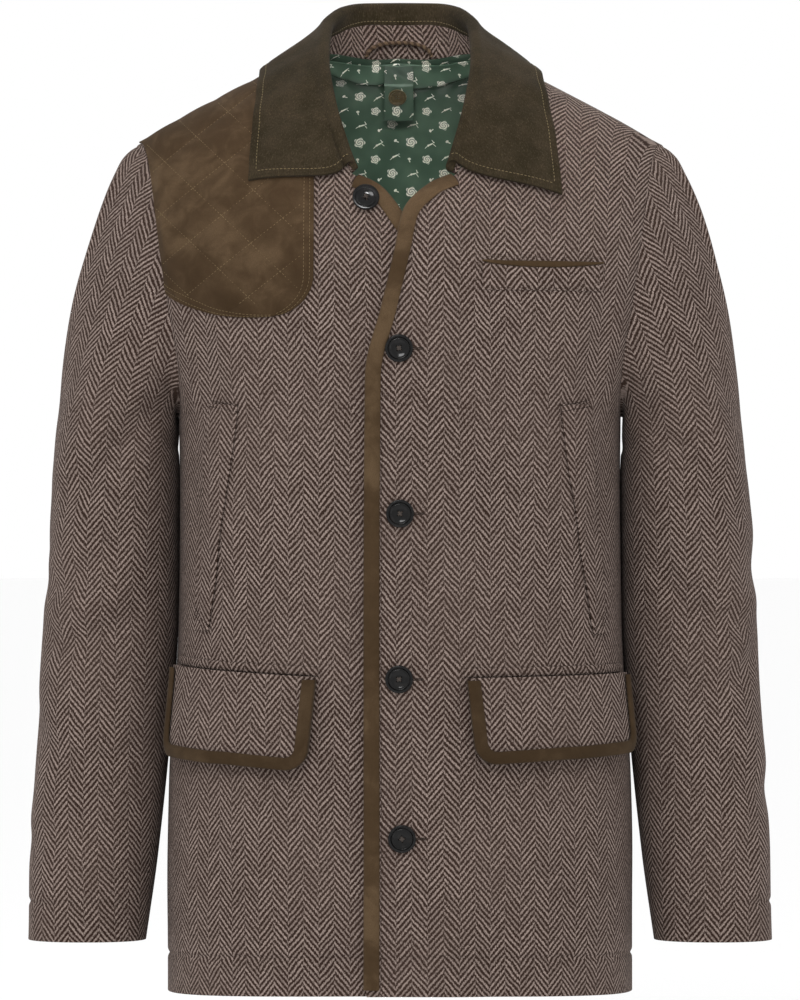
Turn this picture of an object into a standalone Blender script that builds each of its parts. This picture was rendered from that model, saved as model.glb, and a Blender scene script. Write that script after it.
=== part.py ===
"""A tweed field jacket with a quilted suede shoulder patch.

Nobody wears the jacket: it keeps the hollow form that it has on a body. Metres, +Z up, the
front faces -Y, and the wearer's left is at +X. The origin lies between the two shoulders,
at the height where the collar's edge meets the shoulder seams.
"""

import math
from collections import namedtuple
from functools import lru_cache

import bpy
import numpy as np

# ---- Driving dimensions -------------------------------------------------------------

# Cloth thicknesses, and the gaps between pieces
TWEED = 0.003
SUEDE = 0.0015
LINING = 0.0010
SEAM_GAP = 0.0003
LAID_GAP = 0.0005

# Heights of the body, and the lines of its shoulders
HEM = -0.768
HEM_LIFT = 0.006
ARMPIT = -0.285
CHEST = -0.250
RIDGE = 0.0537
SHOULDER_SLOPE = 0.529
SHOULDER_ROUND = 0.030
NECK_HALF = 0.078

# How far the wearer's left front is lifted where it lies on the other front
OVERLAP_LIFT = 0.0062
OVERLAP_FLAT = 0.034
OVERLAP_RAMP = 0.055
OVERLAP_TOP = -0.105
OVERLAP_FADE = 0.040
CROSSING_LIFT = 0.0036
CROSSING_HEIGHT = -0.128
CROSSING_REACH = 0.040

# Steps by which the surface's directions are measured: degrees, levels, shares of a seam, metres
ANGLE_STEP = 0.5
LEVEL_STEP = 0.004
SEAM_STEP = 0.02
OUT_STEP = 0.001
GIRTH_ANGLES = (-20, 90, 221)

# Mesh density
ROWS_BELOW = 11
ROWS_ABOVE = 13
EDGE_ROWS = (11, 7, 6)
FRONT_COLUMNS = 14
FRONT_SPREAD = 1.2
NECK_COLUMNS = 4
SHOULDER_COLUMNS = 6
CAP_RINGS = 8
ARM_RINGS = 8

Section = namedtuple("Section", "name height half_width front back squareness")
SECTIONS = (
    Section("hem", -0.768, 0.1972, 0.1515, 0.1480, 2.28),
    Section("seat", -0.660, 0.1970, 0.1530, 0.1490, 2.50),
    Section("hip", -0.585, 0.1957, 0.1525, 0.1440, 2.45),
    Section("waist", -0.460, 0.1882, 0.1500, 0.1300, 2.40),
    Section("ribs", -0.360, 0.1868, 0.1480, 0.1340, 2.40),
    Section("armpit", -0.285, 0.1875, 0.1460, 0.1390, 2.40),
    Section("chest", -0.250, 0.1960, 0.1450, 0.1400, 2.40),
    Section("breast", -0.170, 0.2130, 0.1450, 0.1400, 2.40),
    Section("collarbone", -0.090, 0.2240, 0.1440, 0.1390, 2.35),
    Section("shoulder", 0.000, 0.2320, 0.1420, 0.1380, 2.30),
    Section("ridge", 0.0537, 0.2350, 0.1400, 0.1370, 2.30),
)

# Levels run up a panel: 0 at the hem, 1 at the chest line, 2 at the shoulder seam
ARMPIT_LEVEL = (ARMPIT - HEM) / (CHEST - HEM)

Armhole = namedtuple("Armhole", "name level front_angle back_angle")
ARMHOLE = (
    Armhole("armpit", ARMPIT_LEVEL, 90.0, 90.0),
    Armhole("under the arm", 0.955, 77.0, 77.0),
    Armhole("lower", 1.000, 68.0, 67.0),
    Armhole("chest", 1.130, 62.0, 61.0),
    Armhole("middle", 1.300, 60.5, 58.5),
    Armhole("upper", 1.600, 61.5, 58.5),
    Armhole("below the shoulder", 1.850, 64.5, 62.0),
    Armhole("shoulder point", 2.000, 68.0, 68.0),
)

COLLAR_END_LEVEL = 1.392

# The edge of a front, from the hem up to the neck: how far it is from the middle, to its side
Edge = namedtuple("Edge", "name level top_front under_front")
FRONT_EDGE = (
    Edge("hem", 0.00, -0.0272, -0.0270),
    Edge("waist", 0.60, -0.0272, -0.0270),
    Edge("first button", 1.00, -0.0262, -0.0262),
    Edge("over the button", 1.12, -0.0130, -0.0262),
    Edge("under the opening", 1.22, -0.0020, -0.0190),
    Edge("foot of the opening", 1.285, 0.0042, -0.0025),
    Edge("opening", 1.345, 0.0240, 0.0160),
    Edge("collar end", 1.400, 0.0490, 0.0430),
    Edge("side of the neck", 1.620, 0.0690, 0.0690),
    Edge("shoulder", 2.00, NECK_HALF, NECK_HALF),
)
# Levels at the foot, the first button, the collar's end and the shoulder seam of a front's edge
EDGE_LEVELS = (0.0, 1.02, COLLAR_END_LEVEL, 2.0)
BACK_NECK_LEVEL = 1.738
BACK_NECK_CURVE = 2.6
BACK_SQUEEZE_LEVEL = 1.2
SHOULDER_ALONG = 0.38

# Sleeve, from the armpit down
ArmRing = namedtuple("ArmRing", "name height middle forward half_width half_depth")
ARM_RINGS_TABLE = (
    ArmRing("upper arm", -0.318, 0.2416, 0.000, 0.0524, 0.0660),
    ArmRing("over the elbow", -0.400, 0.2437, 0.003, 0.0560, 0.0640),
    ArmRing("elbow", -0.480, 0.2472, 0.004, 0.0575, 0.0600),
    ArmRing("forearm", -0.560, 0.2526, 0.000, 0.0566, 0.0560),
    ArmRing("wrist", -0.650, 0.2597, -0.008, 0.0545, 0.0500),
    ArmRing("cuff", -0.7245, 0.2655, -0.014, 0.0500, 0.0450),
)
SLEEVE_SQUARENESS = 2.2
SLEEVE_SMOOTH_TOP = 0.92
SLEEVE_LEAVES_SIDE = 0.62
UNDERARM_GAP = 0.0005
CAP_START_PULL = 0.54
CAP_END_PULL = 1.05
RING_STEP = 0.01

# Collar, from the middle of the back to its front end
CollarStation = namedtuple("CollarStation", "name along roll_x roll_y roll_z edge_x edge_climb lean")
COLLAR = (
    CollarStation("centre back", 0.00, 0.0000, 0.0560, 0.0745, 0.0000, 1.345, 0.0),
    CollarStation("back", 0.13, 0.0310, 0.0520, 0.0738, 0.0520, 1.330, 0.0),
    CollarStation("back corner", 0.25, 0.0490, 0.0360, 0.0695, 0.0950, 1.220, 0.0),
    CollarStation("side", 0.38, 0.0595, 0.0000, 0.0545, 0.1130, 1.020, 0.0),
    CollarStation("side front", 0.655, 0.0612, -0.0580, 0.0185, 0.1180, 0.740, 0.4),
    CollarStation("front", 0.856, 0.0565, -0.0940, -0.0185, 0.1215, 0.580, 0.8),
    CollarStation("end", 1.00, 0.0405, -0.1205, -0.0715, 0.1240, 0.442, 1.0),
)
COLLAR_ROWS = ("roll_x", "roll_y", "roll_z", "edge_x", "edge_climb", "lean")
COLLAR_CLOTH = 0.003
COLLAR_ROLL = 0.0058
COLLAR_REST = 0.0046
COLLAR_LEAST = 0.0042
COLLAR_STRIP = 0.014
COLLAR_STRIP_SHARE = 0.45
COLLAR_ROLL_TURNS = (45, 90, 135, 180)
COLLAR_FALL_ROWS = 5
COLLAR_START_DOWN = 0.25
COLLAR_END_BACK = 0.35
COLLAR_BULGE = 0.03
COLLAR_START_OUT = 0.02
COLLAR_LEAN_X = 0.0085
COLLAR_LEAN_LEVEL = -0.030
STAND_ROWS = 2
UPWARD = np.array([0.0, 0.0, 1.0])
FLAT_PART = np.array([1.0, 1.0, 0.0])
NECK_PULL = 3

# Suede bindings
BINDING_WIDTH = 0.0108
BINDING_SHORT = 0.012
BINDING_GAP = 0.0009
BINDING_FOLD = 0.0008
BINDING_STEP = 0.01
FOLD_SHARE = 0.2
BINDING_END_FACES = ((0, 1, 8, 9), (1, 2, 7, 8), (2, 3, 7), (3, 4, 7), (4, 5, 6, 7))

# Shoulder patch, on the wearer's right
PATCH_INNER = 0.0712
PATCH_CORNER = 0.034
PATCH_FROM_NECK = 0.007
PATCH_LOW_LEVEL = 1.120
PATCH_LOW_RISE = 0.092
PATCH_TOP_LEVEL = 1.970
PATCH_COLUMNS = 17
PATCH_ROWS = 20
PATCH_SPREAD = 1.25
QUILT_NODE = (0.1725, -0.0925)
QUILT_STEP_DOWN = (-0.0246, -0.0238)
QUILT_STEP_UP = (-0.0266, 0.0207)
QUILT_HEIGHT = 0.0014
QUILT_FULLNESS = 0.5
PATCH_RIM_SLOPE = 12
PATCH_FROM_ARMHOLE = 0.6

# Pockets: places across are measured round the body from its middle
Flap = namedtuple("Flap", "name side inner outer top_inner top_outer low_inner low_outer")
FLAPS = (
    Flap("left", 1, 0.0535, 0.2260, -0.5010, -0.4980, -0.5730, -0.5660),
    Flap("right", -1, 0.0680, 0.2290, -0.5000, -0.4915, -0.5780, -0.5690),
)
FLAP_STAND_OFF = 0.0018
FLAP_TIP_OFF = 0.0045
FLAP_SPLAY = 0.0056
FLAP_OUTER_SPLAY = 0.0025
FLAP_CORNER = 0.019
FLAP_CORNER_START, FLAP_CORNER_END = 0.5, 0.8
FLAP_POINT_ASIDE = 0.004
FLAP_BINDING_START = 0.02
FLAP_STATIONS = 13
FLAP_FOLD, FLAP_FOLD_INSIDE = 0.10, 0.15
FLAP_ROWS = 9
FLAP_COLUMNS = 11
FLAP_RIM_GAP = 0.0013
FLAP_WELT_DEPTH = 0.0075
FLAP_WELT_THICK = 0.0018
FLAP_WELT_LIFT = 0.0006
FLAP_WELT_LONGER = 0.001
STRIP_COLUMNS = 13

BREAST_ACROSS = (0.0675, 0.1690)
BREAST_TOP = -0.1545
BREAST_DROP = 0.0245
BREAST_PIPING = 0.0052
PIPING_THICK = 0.0018
PIPING_END = 0.25
PIPING_CURVE = 0.7
WELT_THICK = 0.0010

HandWelt = namedtuple("HandWelt", "name height edge back")
HAND_WELTS = {
    1: (
        HandWelt("foot", -0.4650, 0.1760, 0.1980),
        HandWelt("lower", -0.4200, 0.1660, 0.1920),
        HandWelt("middle", -0.3680, 0.1555, 0.1860),
        HandWelt("upper", -0.3200, 0.1450, 0.1790),
        HandWelt("top", -0.2730, 0.1385, 0.1720),
    ),
    -1: (
        HandWelt("foot", -0.4620, 0.1740, 0.1960),
        HandWelt("lower", -0.4200, 0.1660, 0.1915),
        HandWelt("middle", -0.3680, 0.1560, 0.1850),
        HandWelt("upper", -0.3200, 0.1470, 0.1790),
        HandWelt("top", -0.2730, 0.1400, 0.1730),
    ),
}
HAND_WELT_ROWS = 12
HAND_WELT_COLUMNS = 4
HAND_WELT_THICK = 0.0012
HAND_WELT_OFF = 0.0009

# Buttons
Button = namedtuple("Button", "name side across height radius tilt")
BUTTONS = (
    Button("button_1", -1, 0.0278, -0.1035, 0.0112, 0.16),
    Button("button_2", 1, -0.0008, -0.2280, 0.0115, 0.0),
    Button("button_3", 1, 0.0000, -0.3645, 0.0115, 0.0),
    Button("button_4", 1, -0.0008, -0.5020, 0.0115, 0.0),
    Button("button_5", 1, 0.0016, -0.6350, 0.0115, 0.0),
)
ButtonRing = namedtuple("ButtonRing", "name out up")
BUTTON_TURNING = (
    ButtonRing("foot of the dish", 0.52, 0.0018),
    ButtonRing("inside of the rim", 0.66, 0.0034),
    ButtonRing("top of the rim", 0.88, 0.0036),
    ButtonRing("widest", 1.00, 0.0022),
    ButtonRing("foot", 0.90, 0.0006),
)
BUTTON_MIDDLE, BUTTON_FOOT = 0.0018, 0.0
BUTTON_SIDES = 14
BUTTON_RADIUS = 0.0115
BUTTON_LIFT = 0.0030
BUTTON_TILT_LIFT = 1.5
BUTTON_TILT_UP = 0.2

# Neck: the lining, its tab and the hanger loop
LINING_LOW_LEVEL = 1.10
LINING_HALF_ANGLE = 44.0
LINING_COLUMNS = 12
LINING_ROWS = 9
LINING_GAP = 0.0022
LINING_RIDGE = 0.0050
LINING_RIDGE_AT = 0.16
LINING_RIDGE_REACH = 0.07
LINING_BELOW_SEAM = 0.012
LINING_ROW_SPREAD = 1.4
TAB_LEFT, TAB_RIGHT = -0.0153, 0.0130
TAB_TOP, TAB_LOW = 0.0255, -0.0215
TAB_ROWS, TAB_COLUMNS = 6, 3
TAB_BUTTON_LIFT = 0.0009
TAB_BUTTON = Button("tab_button", 0, -0.0025, -0.0020, 0.0078, 0.0)
LOOP_DIAMETER = 0.0036
LOOP_ENDS = (-0.0285, 0.0268)
LOOP_FOOT, LOOP_TOP = 0.0270, 0.0395
LOOP_STAND_OFF = 0.0050
LOOP_POINTS = 15
LOOP_FULLNESS = 2.6

Colour = namedtuple("Colour", "name red green blue roughness")
COLOURS = {
    "tweed": Colour("tweed", 0.127, 0.091, 0.078, 0.95),
    "suede": Colour("brown suede", 0.068, 0.044, 0.026, 0.97),
    "olive": Colour("olive collar cloth", 0.040, 0.033, 0.020, 0.95),
    "lining": Colour("green lining", 0.047, 0.080, 0.058, 0.45),
    "button": Colour("dark horn", 0.012, 0.012, 0.013, 0.25),
    "tab button": Colour("olive horn", 0.045, 0.035, 0.020, 0.35),
    "cord": Colour("brown cord", 0.080, 0.060, 0.040, 0.85),
}


# ---- Helpers ------------------------------------------------------------------------


def unit(vector):
    """A vector made one long."""
    return vector / np.linalg.norm(vector)


def smooth_step(value):
    """0 below 0, 1 above 1, and a soft S between them."""
    value = min(1.0, max(0.0, value))
    return value * value * (3 - 2 * value)


def read(table, key, column, at):
    """A column of a table at any value of its key, on a smooth curve that never overshoots."""
    places = [getattr(row, key) for row in table]
    values = [getattr(row, column) for row in table]
    steps = [b - a for a, b in zip(places, places[1:])]
    rises = [(b - a) / step for a, b, step in zip(values, values[1:], steps)]
    slopes = [rises[0]]
    for before, after in zip(rises, rises[1:]):
        same_way = before * after > 0
        slopes.append(2 * before * after / (before + after) if same_way else 0.0)
    slopes.append(rises[-1])
    last = len(steps) - 1
    i = max(0, min(last, sum(place <= at for place in places[1:])))
    t = (at - places[i]) / steps[i]
    t = min(1.0, max(0.0, t))
    start = (1 + 2 * t) * (1 - t) ** 2 * values[i] + t * (1 - t) ** 2 * steps[i] * slopes[i]
    end = t * t * (3 - 2 * t) * values[i + 1] + t * t * (t - 1) * steps[i] * slopes[i + 1]
    return start + end


def material(key):
    """The Principled material of a colour, made once."""
    colour = COLOURS[key]
    found = bpy.data.materials.get(colour.name)
    if found:
        return found
    made = bpy.data.materials.new(colour.name)
    made.use_nodes = True
    shader = made.node_tree.nodes["Principled BSDF"]
    shader.inputs["Base Color"].default_value = (colour.red, colour.green, colour.blue, 1)
    shader.inputs["Roughness"].default_value = colour.roughness
    shader.inputs["Metallic"].default_value = 0.0
    return made


def volume(points, faces):
    """The volume that faces enclose, below 0 where they look inward."""
    total = 0.0
    for face in faces:
        first = points[face[0]]
        for second, third in zip(face[1:], face[2:]):
            total += np.dot(first, np.cross(points[second], points[third]))
    return total / 6


def add_object(name, points, faces, key):
    """A named object from points and faces, facing out, smooth but for its sharp edges."""
    if volume(points, faces) < 0:
        faces = [tuple(reversed(face)) for face in faces]
    mesh = bpy.data.meshes.new(name)
    mesh.from_pydata([tuple(map(float, point)) for point in points], [], faces)
    mesh.validate()
    mesh.shade_smooth()
    mesh.set_sharp_from_angle(angle=math.radians(40))
    mesh.materials.append(material(key))
    made = bpy.data.objects.new(name, mesh)
    bpy.context.scene.collection.objects.link(made)
    return made


def add_wall(name, outer, inner, key, tube=False):
    """A closed wall between two grids of points; a tube's rows are rings that close."""
    rows, columns = len(outer), len(outer[0])
    points = [point for row in outer for point in row] + [point for row in inner for point in row]
    back = rows * columns
    faces = []
    across = columns if tube else columns - 1
    for r in range(rows - 1):
        for c in range(across):
            a, b = r * columns + c, r * columns + (c + 1) % columns
            d, e = a + columns, b + columns
            faces.append((a, b, e, d))
            faces.append((back + a, back + d, back + e, back + b))
    for c in range(across):
        a, b = c, (c + 1) % columns
        faces.append((a, back + a, back + b, b))
        top = (rows - 1) * columns
        faces.append((top + a, top + b, back + top + b, back + top + a))
    if not tube:
        for r in range(rows - 1):
            a, d = r * columns, (r + 1) * columns
            faces.append((a, d, back + d, back + a))
            b, e = a + columns - 1, d + columns - 1
            faces.append((b, back + b, back + e, e))
    return add_object(name, points, faces, key)


# ---- The body's surface -------------------------------------------------------------


def ridge_at(x):
    """Height of the shoulder line at a distance from the middle."""
    return RIDGE - SHOULDER_SLOPE * (math.hypot(x, SHOULDER_ROUND) - SHOULDER_ROUND)


def rounding(level):
    """The angle by which a level has rounded in over the chest, 90 degrees at the seam."""
    return math.radians(90) * max(0.0, level - 1)


def ring_height(level):
    """Height of a level at the body's middle."""
    if level <= 1:
        return HEM + (CHEST - HEM) * level
    return CHEST + (RIDGE - CHEST) * math.sin(min(rounding(level), math.radians(90)))


@lru_cache(maxsize=None)
def ring(level):
    """Half width, front and back depth, and squareness of the body at a level."""
    height = ring_height(level)
    columns = ("half_width", "front", "back", "squareness")
    return tuple(read(SECTIONS, "height", column, height) for column in columns)


def body_point(face, angle, level):
    """A point of the cloth's outer surface; face is -1 for the front and 1 for the back."""
    half_width, front, back, power = ring(level)
    sine, cosine = math.sin(math.radians(angle)), math.cos(math.radians(angle))
    reach = (abs(sine) ** power + abs(cosine) ** power) ** (-1 / power)
    x = half_width * sine * reach
    depth = (front if face < 0 else back) * cosine * reach * math.cos(rounding(level))
    if level <= 1:
        z = ring_height(level) + HEM_LIFT * max(0.0, 1 - level) ** 2 * cosine**2
    else:
        z = CHEST + (ridge_at(x) - CHEST) * math.sin(rounding(level))
    return np.array([x, face * (SEAM_GAP / 2 + depth), z])


def body_normal(face, angle, level):
    """The direction out of the cloth at a point of the body."""
    across = body_point(face, angle + ANGLE_STEP, level) - body_point(face, angle - ANGLE_STEP, level)
    up = body_point(face, angle, level + LEVEL_STEP) - body_point(face, angle, level - LEVEL_STEP)
    return unit(np.cross(across, up) * -face)


def angle_at(x, level):
    """The angle at which a level is this far from the middle."""
    half_width, _, _, power = ring(level)
    share = min(abs(x) / half_width, 0.9999)
    if share < 1e-6:
        return 0.0
    turn = math.degrees(math.atan2(1, (share**-power - 1) ** (1 / power)))
    return math.copysign(turn, x)


def level_at(x, z):
    """The level that passes through a point of the front view."""
    if z <= CHEST:
        return (z - HEM) / (CHEST - HEM)
    return 1 + math.asin(min(1.0, (z - CHEST) / (ridge_at(x) - CHEST))) / math.radians(90)


def overlap_lift(side, x, z):
    """How far the wearer's left front stands off where it lies on the other front."""
    if side < 0:
        return 0.0
    across = 1 - smooth_step((x - OVERLAP_FLAT) / OVERLAP_RAMP)
    crossing = CROSSING_LIFT * math.exp(-(((z - CROSSING_HEIGHT) / CROSSING_REACH) ** 2))
    fade = 1 - smooth_step((z - OVERLAP_TOP) / OVERLAP_FADE)
    return (OVERLAP_LIFT + crossing) * across * fade


def mirrored(point, side):
    """A point of the wearer's left side, or the same one on the right."""
    return point * np.array([side, 1, 1])


def front_spot(side, angle, level, out=0.0):
    """A point on or over a front; angles are positive towards its own side."""
    point = body_point(-1, angle, level)
    normal = body_normal(-1, angle, level)
    lifted = point + normal * (overlap_lift(side, point[0], point[2]) + out)
    return mirrored(lifted, side)


def back_spot(angle, level, out=0.0):
    """A point on or over the back."""
    return body_point(1, angle, level) + body_normal(1, angle, level) * out


@lru_cache(maxsize=None)
def girth_table(level):
    """Angles and the way round the body from its middle to each of them, at a level."""
    angles = np.linspace(*GIRTH_ANGLES)
    points = np.array([body_point(-1, angle, level) for angle in angles])
    ways = np.concatenate([[0], np.cumsum(np.linalg.norm(np.diff(points, axis=0), axis=1))])
    return angles, ways - np.interp(0, angles, ways)


def girth_spot(side, across, height, out=0.0):
    """A point on or over a front, placed by the way round the body and its height."""
    level = round(level_at(0, height), 4)
    angles, ways = girth_table(level)
    return front_spot(side, float(np.interp(across, ways, angles)), level, out)


def view_spot(side, x, height, out=0.0):
    """A point on or over a front, placed by where it shows from the front."""
    level = level_at(x, height)
    return front_spot(side, angle_at(x, level), level, out)


# ---- Panels -------------------------------------------------------------------------


def panel_levels():
    """The levels of a panel's rows, closer together at the armpit and the shoulder."""
    below = [ARMPIT_LEVEL * i / ROWS_BELOW for i in range(ROWS_BELOW)]
    above = []
    for i in range(ROWS_ABOVE + 1):
        t = i / ROWS_ABOVE
        eased = 0.75 * (1 - math.cos(math.pi * t)) / 2 + 0.25 * t
        above.append(ARMPIT_LEVEL + (2 - ARMPIT_LEVEL) * eased)
    return below + above


def armhole_angle(face, level):
    """The angle of a panel's outer edge: the side seam, and over it the armhole."""
    if level <= ARMPIT_LEVEL:
        return 90.0
    return read(ARMHOLE, "level", "front_angle" if face < 0 else "back_angle", level)


def edge_levels():
    """The levels at which a front's rows meet its inner edge."""
    levels = [EDGE_LEVELS[0]]
    for count, start, end in zip(EDGE_ROWS, EDGE_LEVELS, EDGE_LEVELS[1:]):
        levels += [start + (end - start) * (i + 1) / count for i in range(count)]
    return levels


def edge_angle(side, level):
    """The angle of a front's inner edge."""
    column = "top_front" if side > 0 else "under_front"
    return angle_at(read(FRONT_EDGE, "level", column, level), level)


def front_grid(side, out):
    """Rows of points of a front, from its inner edge to its side."""
    shares = [(j / FRONT_COLUMNS) ** FRONT_SPREAD for j in range(FRONT_COLUMNS + 1)]
    rows = []
    for at_edge, at_side in zip(edge_levels(), panel_levels()):
        row = []
        for share in shares:
            level = at_edge + (at_side - at_edge) * share
            start, end = edge_angle(side, level), armhole_angle(-1, level)
            row.append(front_spot(side, start + (end - start) * share, level, out))
        rows.append(row)
    return rows


def back_columns():
    """Shares of the armhole's angle at which the back's columns stand, corners of the neck among them."""
    neck = angle_at(NECK_HALF, 2.0) / armhole_angle(1, 2.0)
    half = [neck * i / NECK_COLUMNS for i in range(1, NECK_COLUMNS + 1)]
    half += [neck + (1 - neck) * i / SHOULDER_COLUMNS for i in range(1, SHOULDER_COLUMNS + 1)]
    return neck, [-share for share in reversed(half)] + [0.0] + half


def neckline_level(share, neck):
    """The highest level of the back at a column."""
    inward = min(1.0, abs(share) / neck)
    return BACK_NECK_LEVEL + (2 - BACK_NECK_LEVEL) * inward**BACK_NECK_CURVE


def back_level(level, share, neck):
    """A row's level at a column, pressed down where the neck is cut out."""
    if level <= BACK_SQUEEZE_LEVEL:
        return level
    room = (neckline_level(share, neck) - BACK_SQUEEZE_LEVEL) / (2 - BACK_SQUEEZE_LEVEL)
    return BACK_SQUEEZE_LEVEL + (level - BACK_SQUEEZE_LEVEL) * room


def back_grid(out):
    """Rows of points of the back, from the wearer's right to the left."""
    neck, shares = back_columns()
    rows = []
    for level in panel_levels():
        row = []
        for share in shares:
            here = back_level(level, share, neck)
            row.append(back_spot(share * armhole_angle(1, here), here, out))
        rows.append(row)
    return rows


def add_panels():
    """The two fronts and the back."""
    for side, name in ((1, "front_left"), (-1, "front_right")):
        add_wall(name, front_grid(side, 0), front_grid(side, -TWEED), "tweed")
    add_wall("back", back_grid(0), back_grid(-TWEED), "tweed")


# ---- Sleeves ------------------------------------------------------------------------


def armhole_loop(out):
    """Points round the wearer's left armhole: shoulder, front, armpit, back."""
    levels = [level for level in panel_levels() if level >= ARMPIT_LEVEL]
    front = [front_spot(1, armhole_angle(-1, level), level, out) for level in levels]
    back = [back_spot(armhole_angle(1, level), level, out) for level in levels]
    shoulder = (front[-1] + back[-1]) / 2
    armpit = (front[0] + back[0]) / 2
    return [shoulder] + front[-2:0:-1] + [armpit] + back[1:-1]


def away_from_panels(loop_out, loop_in):
    """At each point of the armhole, the way out of the cloth and the way on past its edge."""
    count = len(loop_out)
    ways = []
    for i in range(count):
        normal = unit(loop_out[i] - loop_in[i])
        along = unit(loop_out[(i + 1) % count] - loop_out[i - 1])
        ways.append((normal, unit(np.cross(normal, along))))
    return ways


def arm_ring(height, turns):
    """A ring of the wearer's left sleeve at a height; a turn of 0 is away from the body."""
    middle, forward, half_width, half_depth = (
        read(ARM_RINGS_TABLE[::-1], "height", column, height)
        for column in ("middle", "forward", "half_width", "half_depth")
    )
    points = []
    for turn in turns:
        sine, cosine = math.sin(turn), math.cos(turn)
        power = SLEEVE_SQUARENESS
        reach = (abs(sine) ** power + abs(cosine) ** power) ** (-1 / power)
        x = middle + half_width * cosine * reach
        points.append(np.array([x, forward - half_depth * sine * reach, height]))
    return points


def sleeve_rings():
    """Rings of the wearer's left sleeve, from its armhole to its cuff, outer points."""
    start_out, start_in = armhole_loop(0), armhole_loop(-TWEED)
    ways = away_from_panels(start_out, start_in)
    count = len(start_out)
    steps = [np.linalg.norm(start_out[(i + 1) % count] - start_out[i]) for i in range(count)]
    round_way = np.concatenate([[0], np.cumsum(steps)])
    turns = [2 * math.pi * way / round_way[-1] for way in round_way[:-1]]
    gaps = [SEAM_GAP + UNDERARM_GAP * max(0.0, -math.cos(turn)) ** 4 for turn in turns]
    first = [p + way[1] * gap for p, way, gap in zip(start_out, ways, gaps)]
    first_in = [p + way[1] * gap for p, way, gap in zip(start_in, ways, gaps)]
    top = ARM_RINGS_TABLE[0].height
    target = arm_ring(top, turns)
    below = arm_ring(top - RING_STEP, turns)
    rings = [first]
    for k in range(1, CAP_RINGS + 1):
        t = k / CAP_RINGS
        row = []
        for i in range(count):
            normal, on = ways[i]
            smooth = SLEEVE_SMOOTH_TOP * (0.5 + 0.5 * math.cos(turns[i])) ** 2
            leaving = unit(on * (smooth + (1 - smooth) * SLEEVE_LEAVES_SIDE)
                           + normal * (1 - smooth) * (1 - SLEEVE_LEAVES_SIDE))
            far = np.linalg.norm(target[i] - first[i])
            pull_out = leaving * far * CAP_START_PULL
            pull_down = unit(below[i] - target[i]) * far * CAP_END_PULL
            row.append(
                first[i] * (1 + 2 * t) * (1 - t) ** 2
                + target[i] * t * t * (3 - 2 * t)
                + pull_out * t * (1 - t) ** 2
                + pull_down * t * t * (t - 1)
            )
        rings.append(row)
    cuff = ARM_RINGS_TABLE[-1].height
    for k in range(1, ARM_RINGS + 1):
        rings.append(arm_ring(top + (cuff - top) * k / ARM_RINGS, turns))
    return rings, first_in


def inset_rings(rings, first_in, thickness):
    """The inner points of a tube's wall, from its outer ones."""
    count = len(rings[0])
    inner = [first_in]
    for k in range(1, len(rings)):
        following = rings[min(k + 1, len(rings) - 1)]
        row = []
        for i in range(count):
            around = rings[k][(i + 1) % count] - rings[k][i - 1]
            down = following[i] - rings[k - 1][i]
            row.append(rings[k][i] - unit(np.cross(around, down)) * thickness)
        inner.append(row)
    return inner


def add_sleeves():
    """The two sleeves, each one tube."""
    rings, first_in = sleeve_rings()
    inner = inset_rings(rings, first_in, TWEED)
    for side, name in ((1, "sleeve_left"), (-1, "sleeve_right")):
        outer = [[mirrored(point, side) for point in row] for row in rings]
        inside = [[mirrored(point, side) for point in row] for row in inner]
        add_wall(name, outer, inside, "tweed", tube=True)


# ---- Collar -------------------------------------------------------------------------


def neck_seam(along, side, out):
    """A point of one half's neck seam, from the middle of the back, as if on the left side."""
    if along <= SHOULDER_ALONG:
        neck, _ = back_columns()
        share = neck * along / SHOULDER_ALONG
        level = neckline_level(share, neck)
        return back_spot(share * armhole_angle(1, level), level, out)
    down = (along - SHOULDER_ALONG) / (1 - SHOULDER_ALONG)
    level = 2 + (COLLAR_END_LEVEL - 2) * down
    return mirrored(front_spot(side, edge_angle(side, level), level, out), side)


def neck_frame(along, side):
    """The seam's outer and inner point, the way out of the cloth and the way on past its edge."""
    outer, inner = neck_seam(along, side, 0), neck_seam(along, side, -TWEED)
    low, high = max(0.0, along - SEAM_STEP), min(1.0, along + SEAM_STEP)
    tangent = unit(neck_seam(high, side, 0) - neck_seam(low, side, 0))
    normal = unit(outer - inner)
    on = unit(np.cross(tangent, normal))
    if np.dot(on, UPWARD - outer * FLAT_PART * NECK_PULL) < 0:
        on = -on
    return outer, inner, normal, on


def over_shoulder(x, climb, out):
    """A point over the body, climbing from the chest line over the shoulder to the back."""
    if climb <= 1:
        level = 1 + climb
        return body_point(-1, angle_at(x, level), level) + body_normal(-1, angle_at(x, level), level) * out
    level = 3 - climb
    return back_spot(angle_at(x, level), level, out)


def clear_of_body(point, side, out):
    """A point of the collar, moved out where it would be nearer to the fronts or back than this."""
    x, y, z = point
    depth = abs(body_point(-1 if y < 0 else 1, angle_at(x, 1.0), 1.0)[1])
    climb = math.atan2((z - CHEST) / (ridge_at(x) - CHEST), -y / depth) / math.radians(90)
    spot, beyond = over_shoulder(x, climb, 0), over_shoulder(x, climb, OUT_STEP)
    normal = unit(beyond - spot)
    wanted = out + overlap_lift(side, x, z)
    short = wanted - np.dot(point - spot, normal)
    return point + normal * max(0.0, short)


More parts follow.
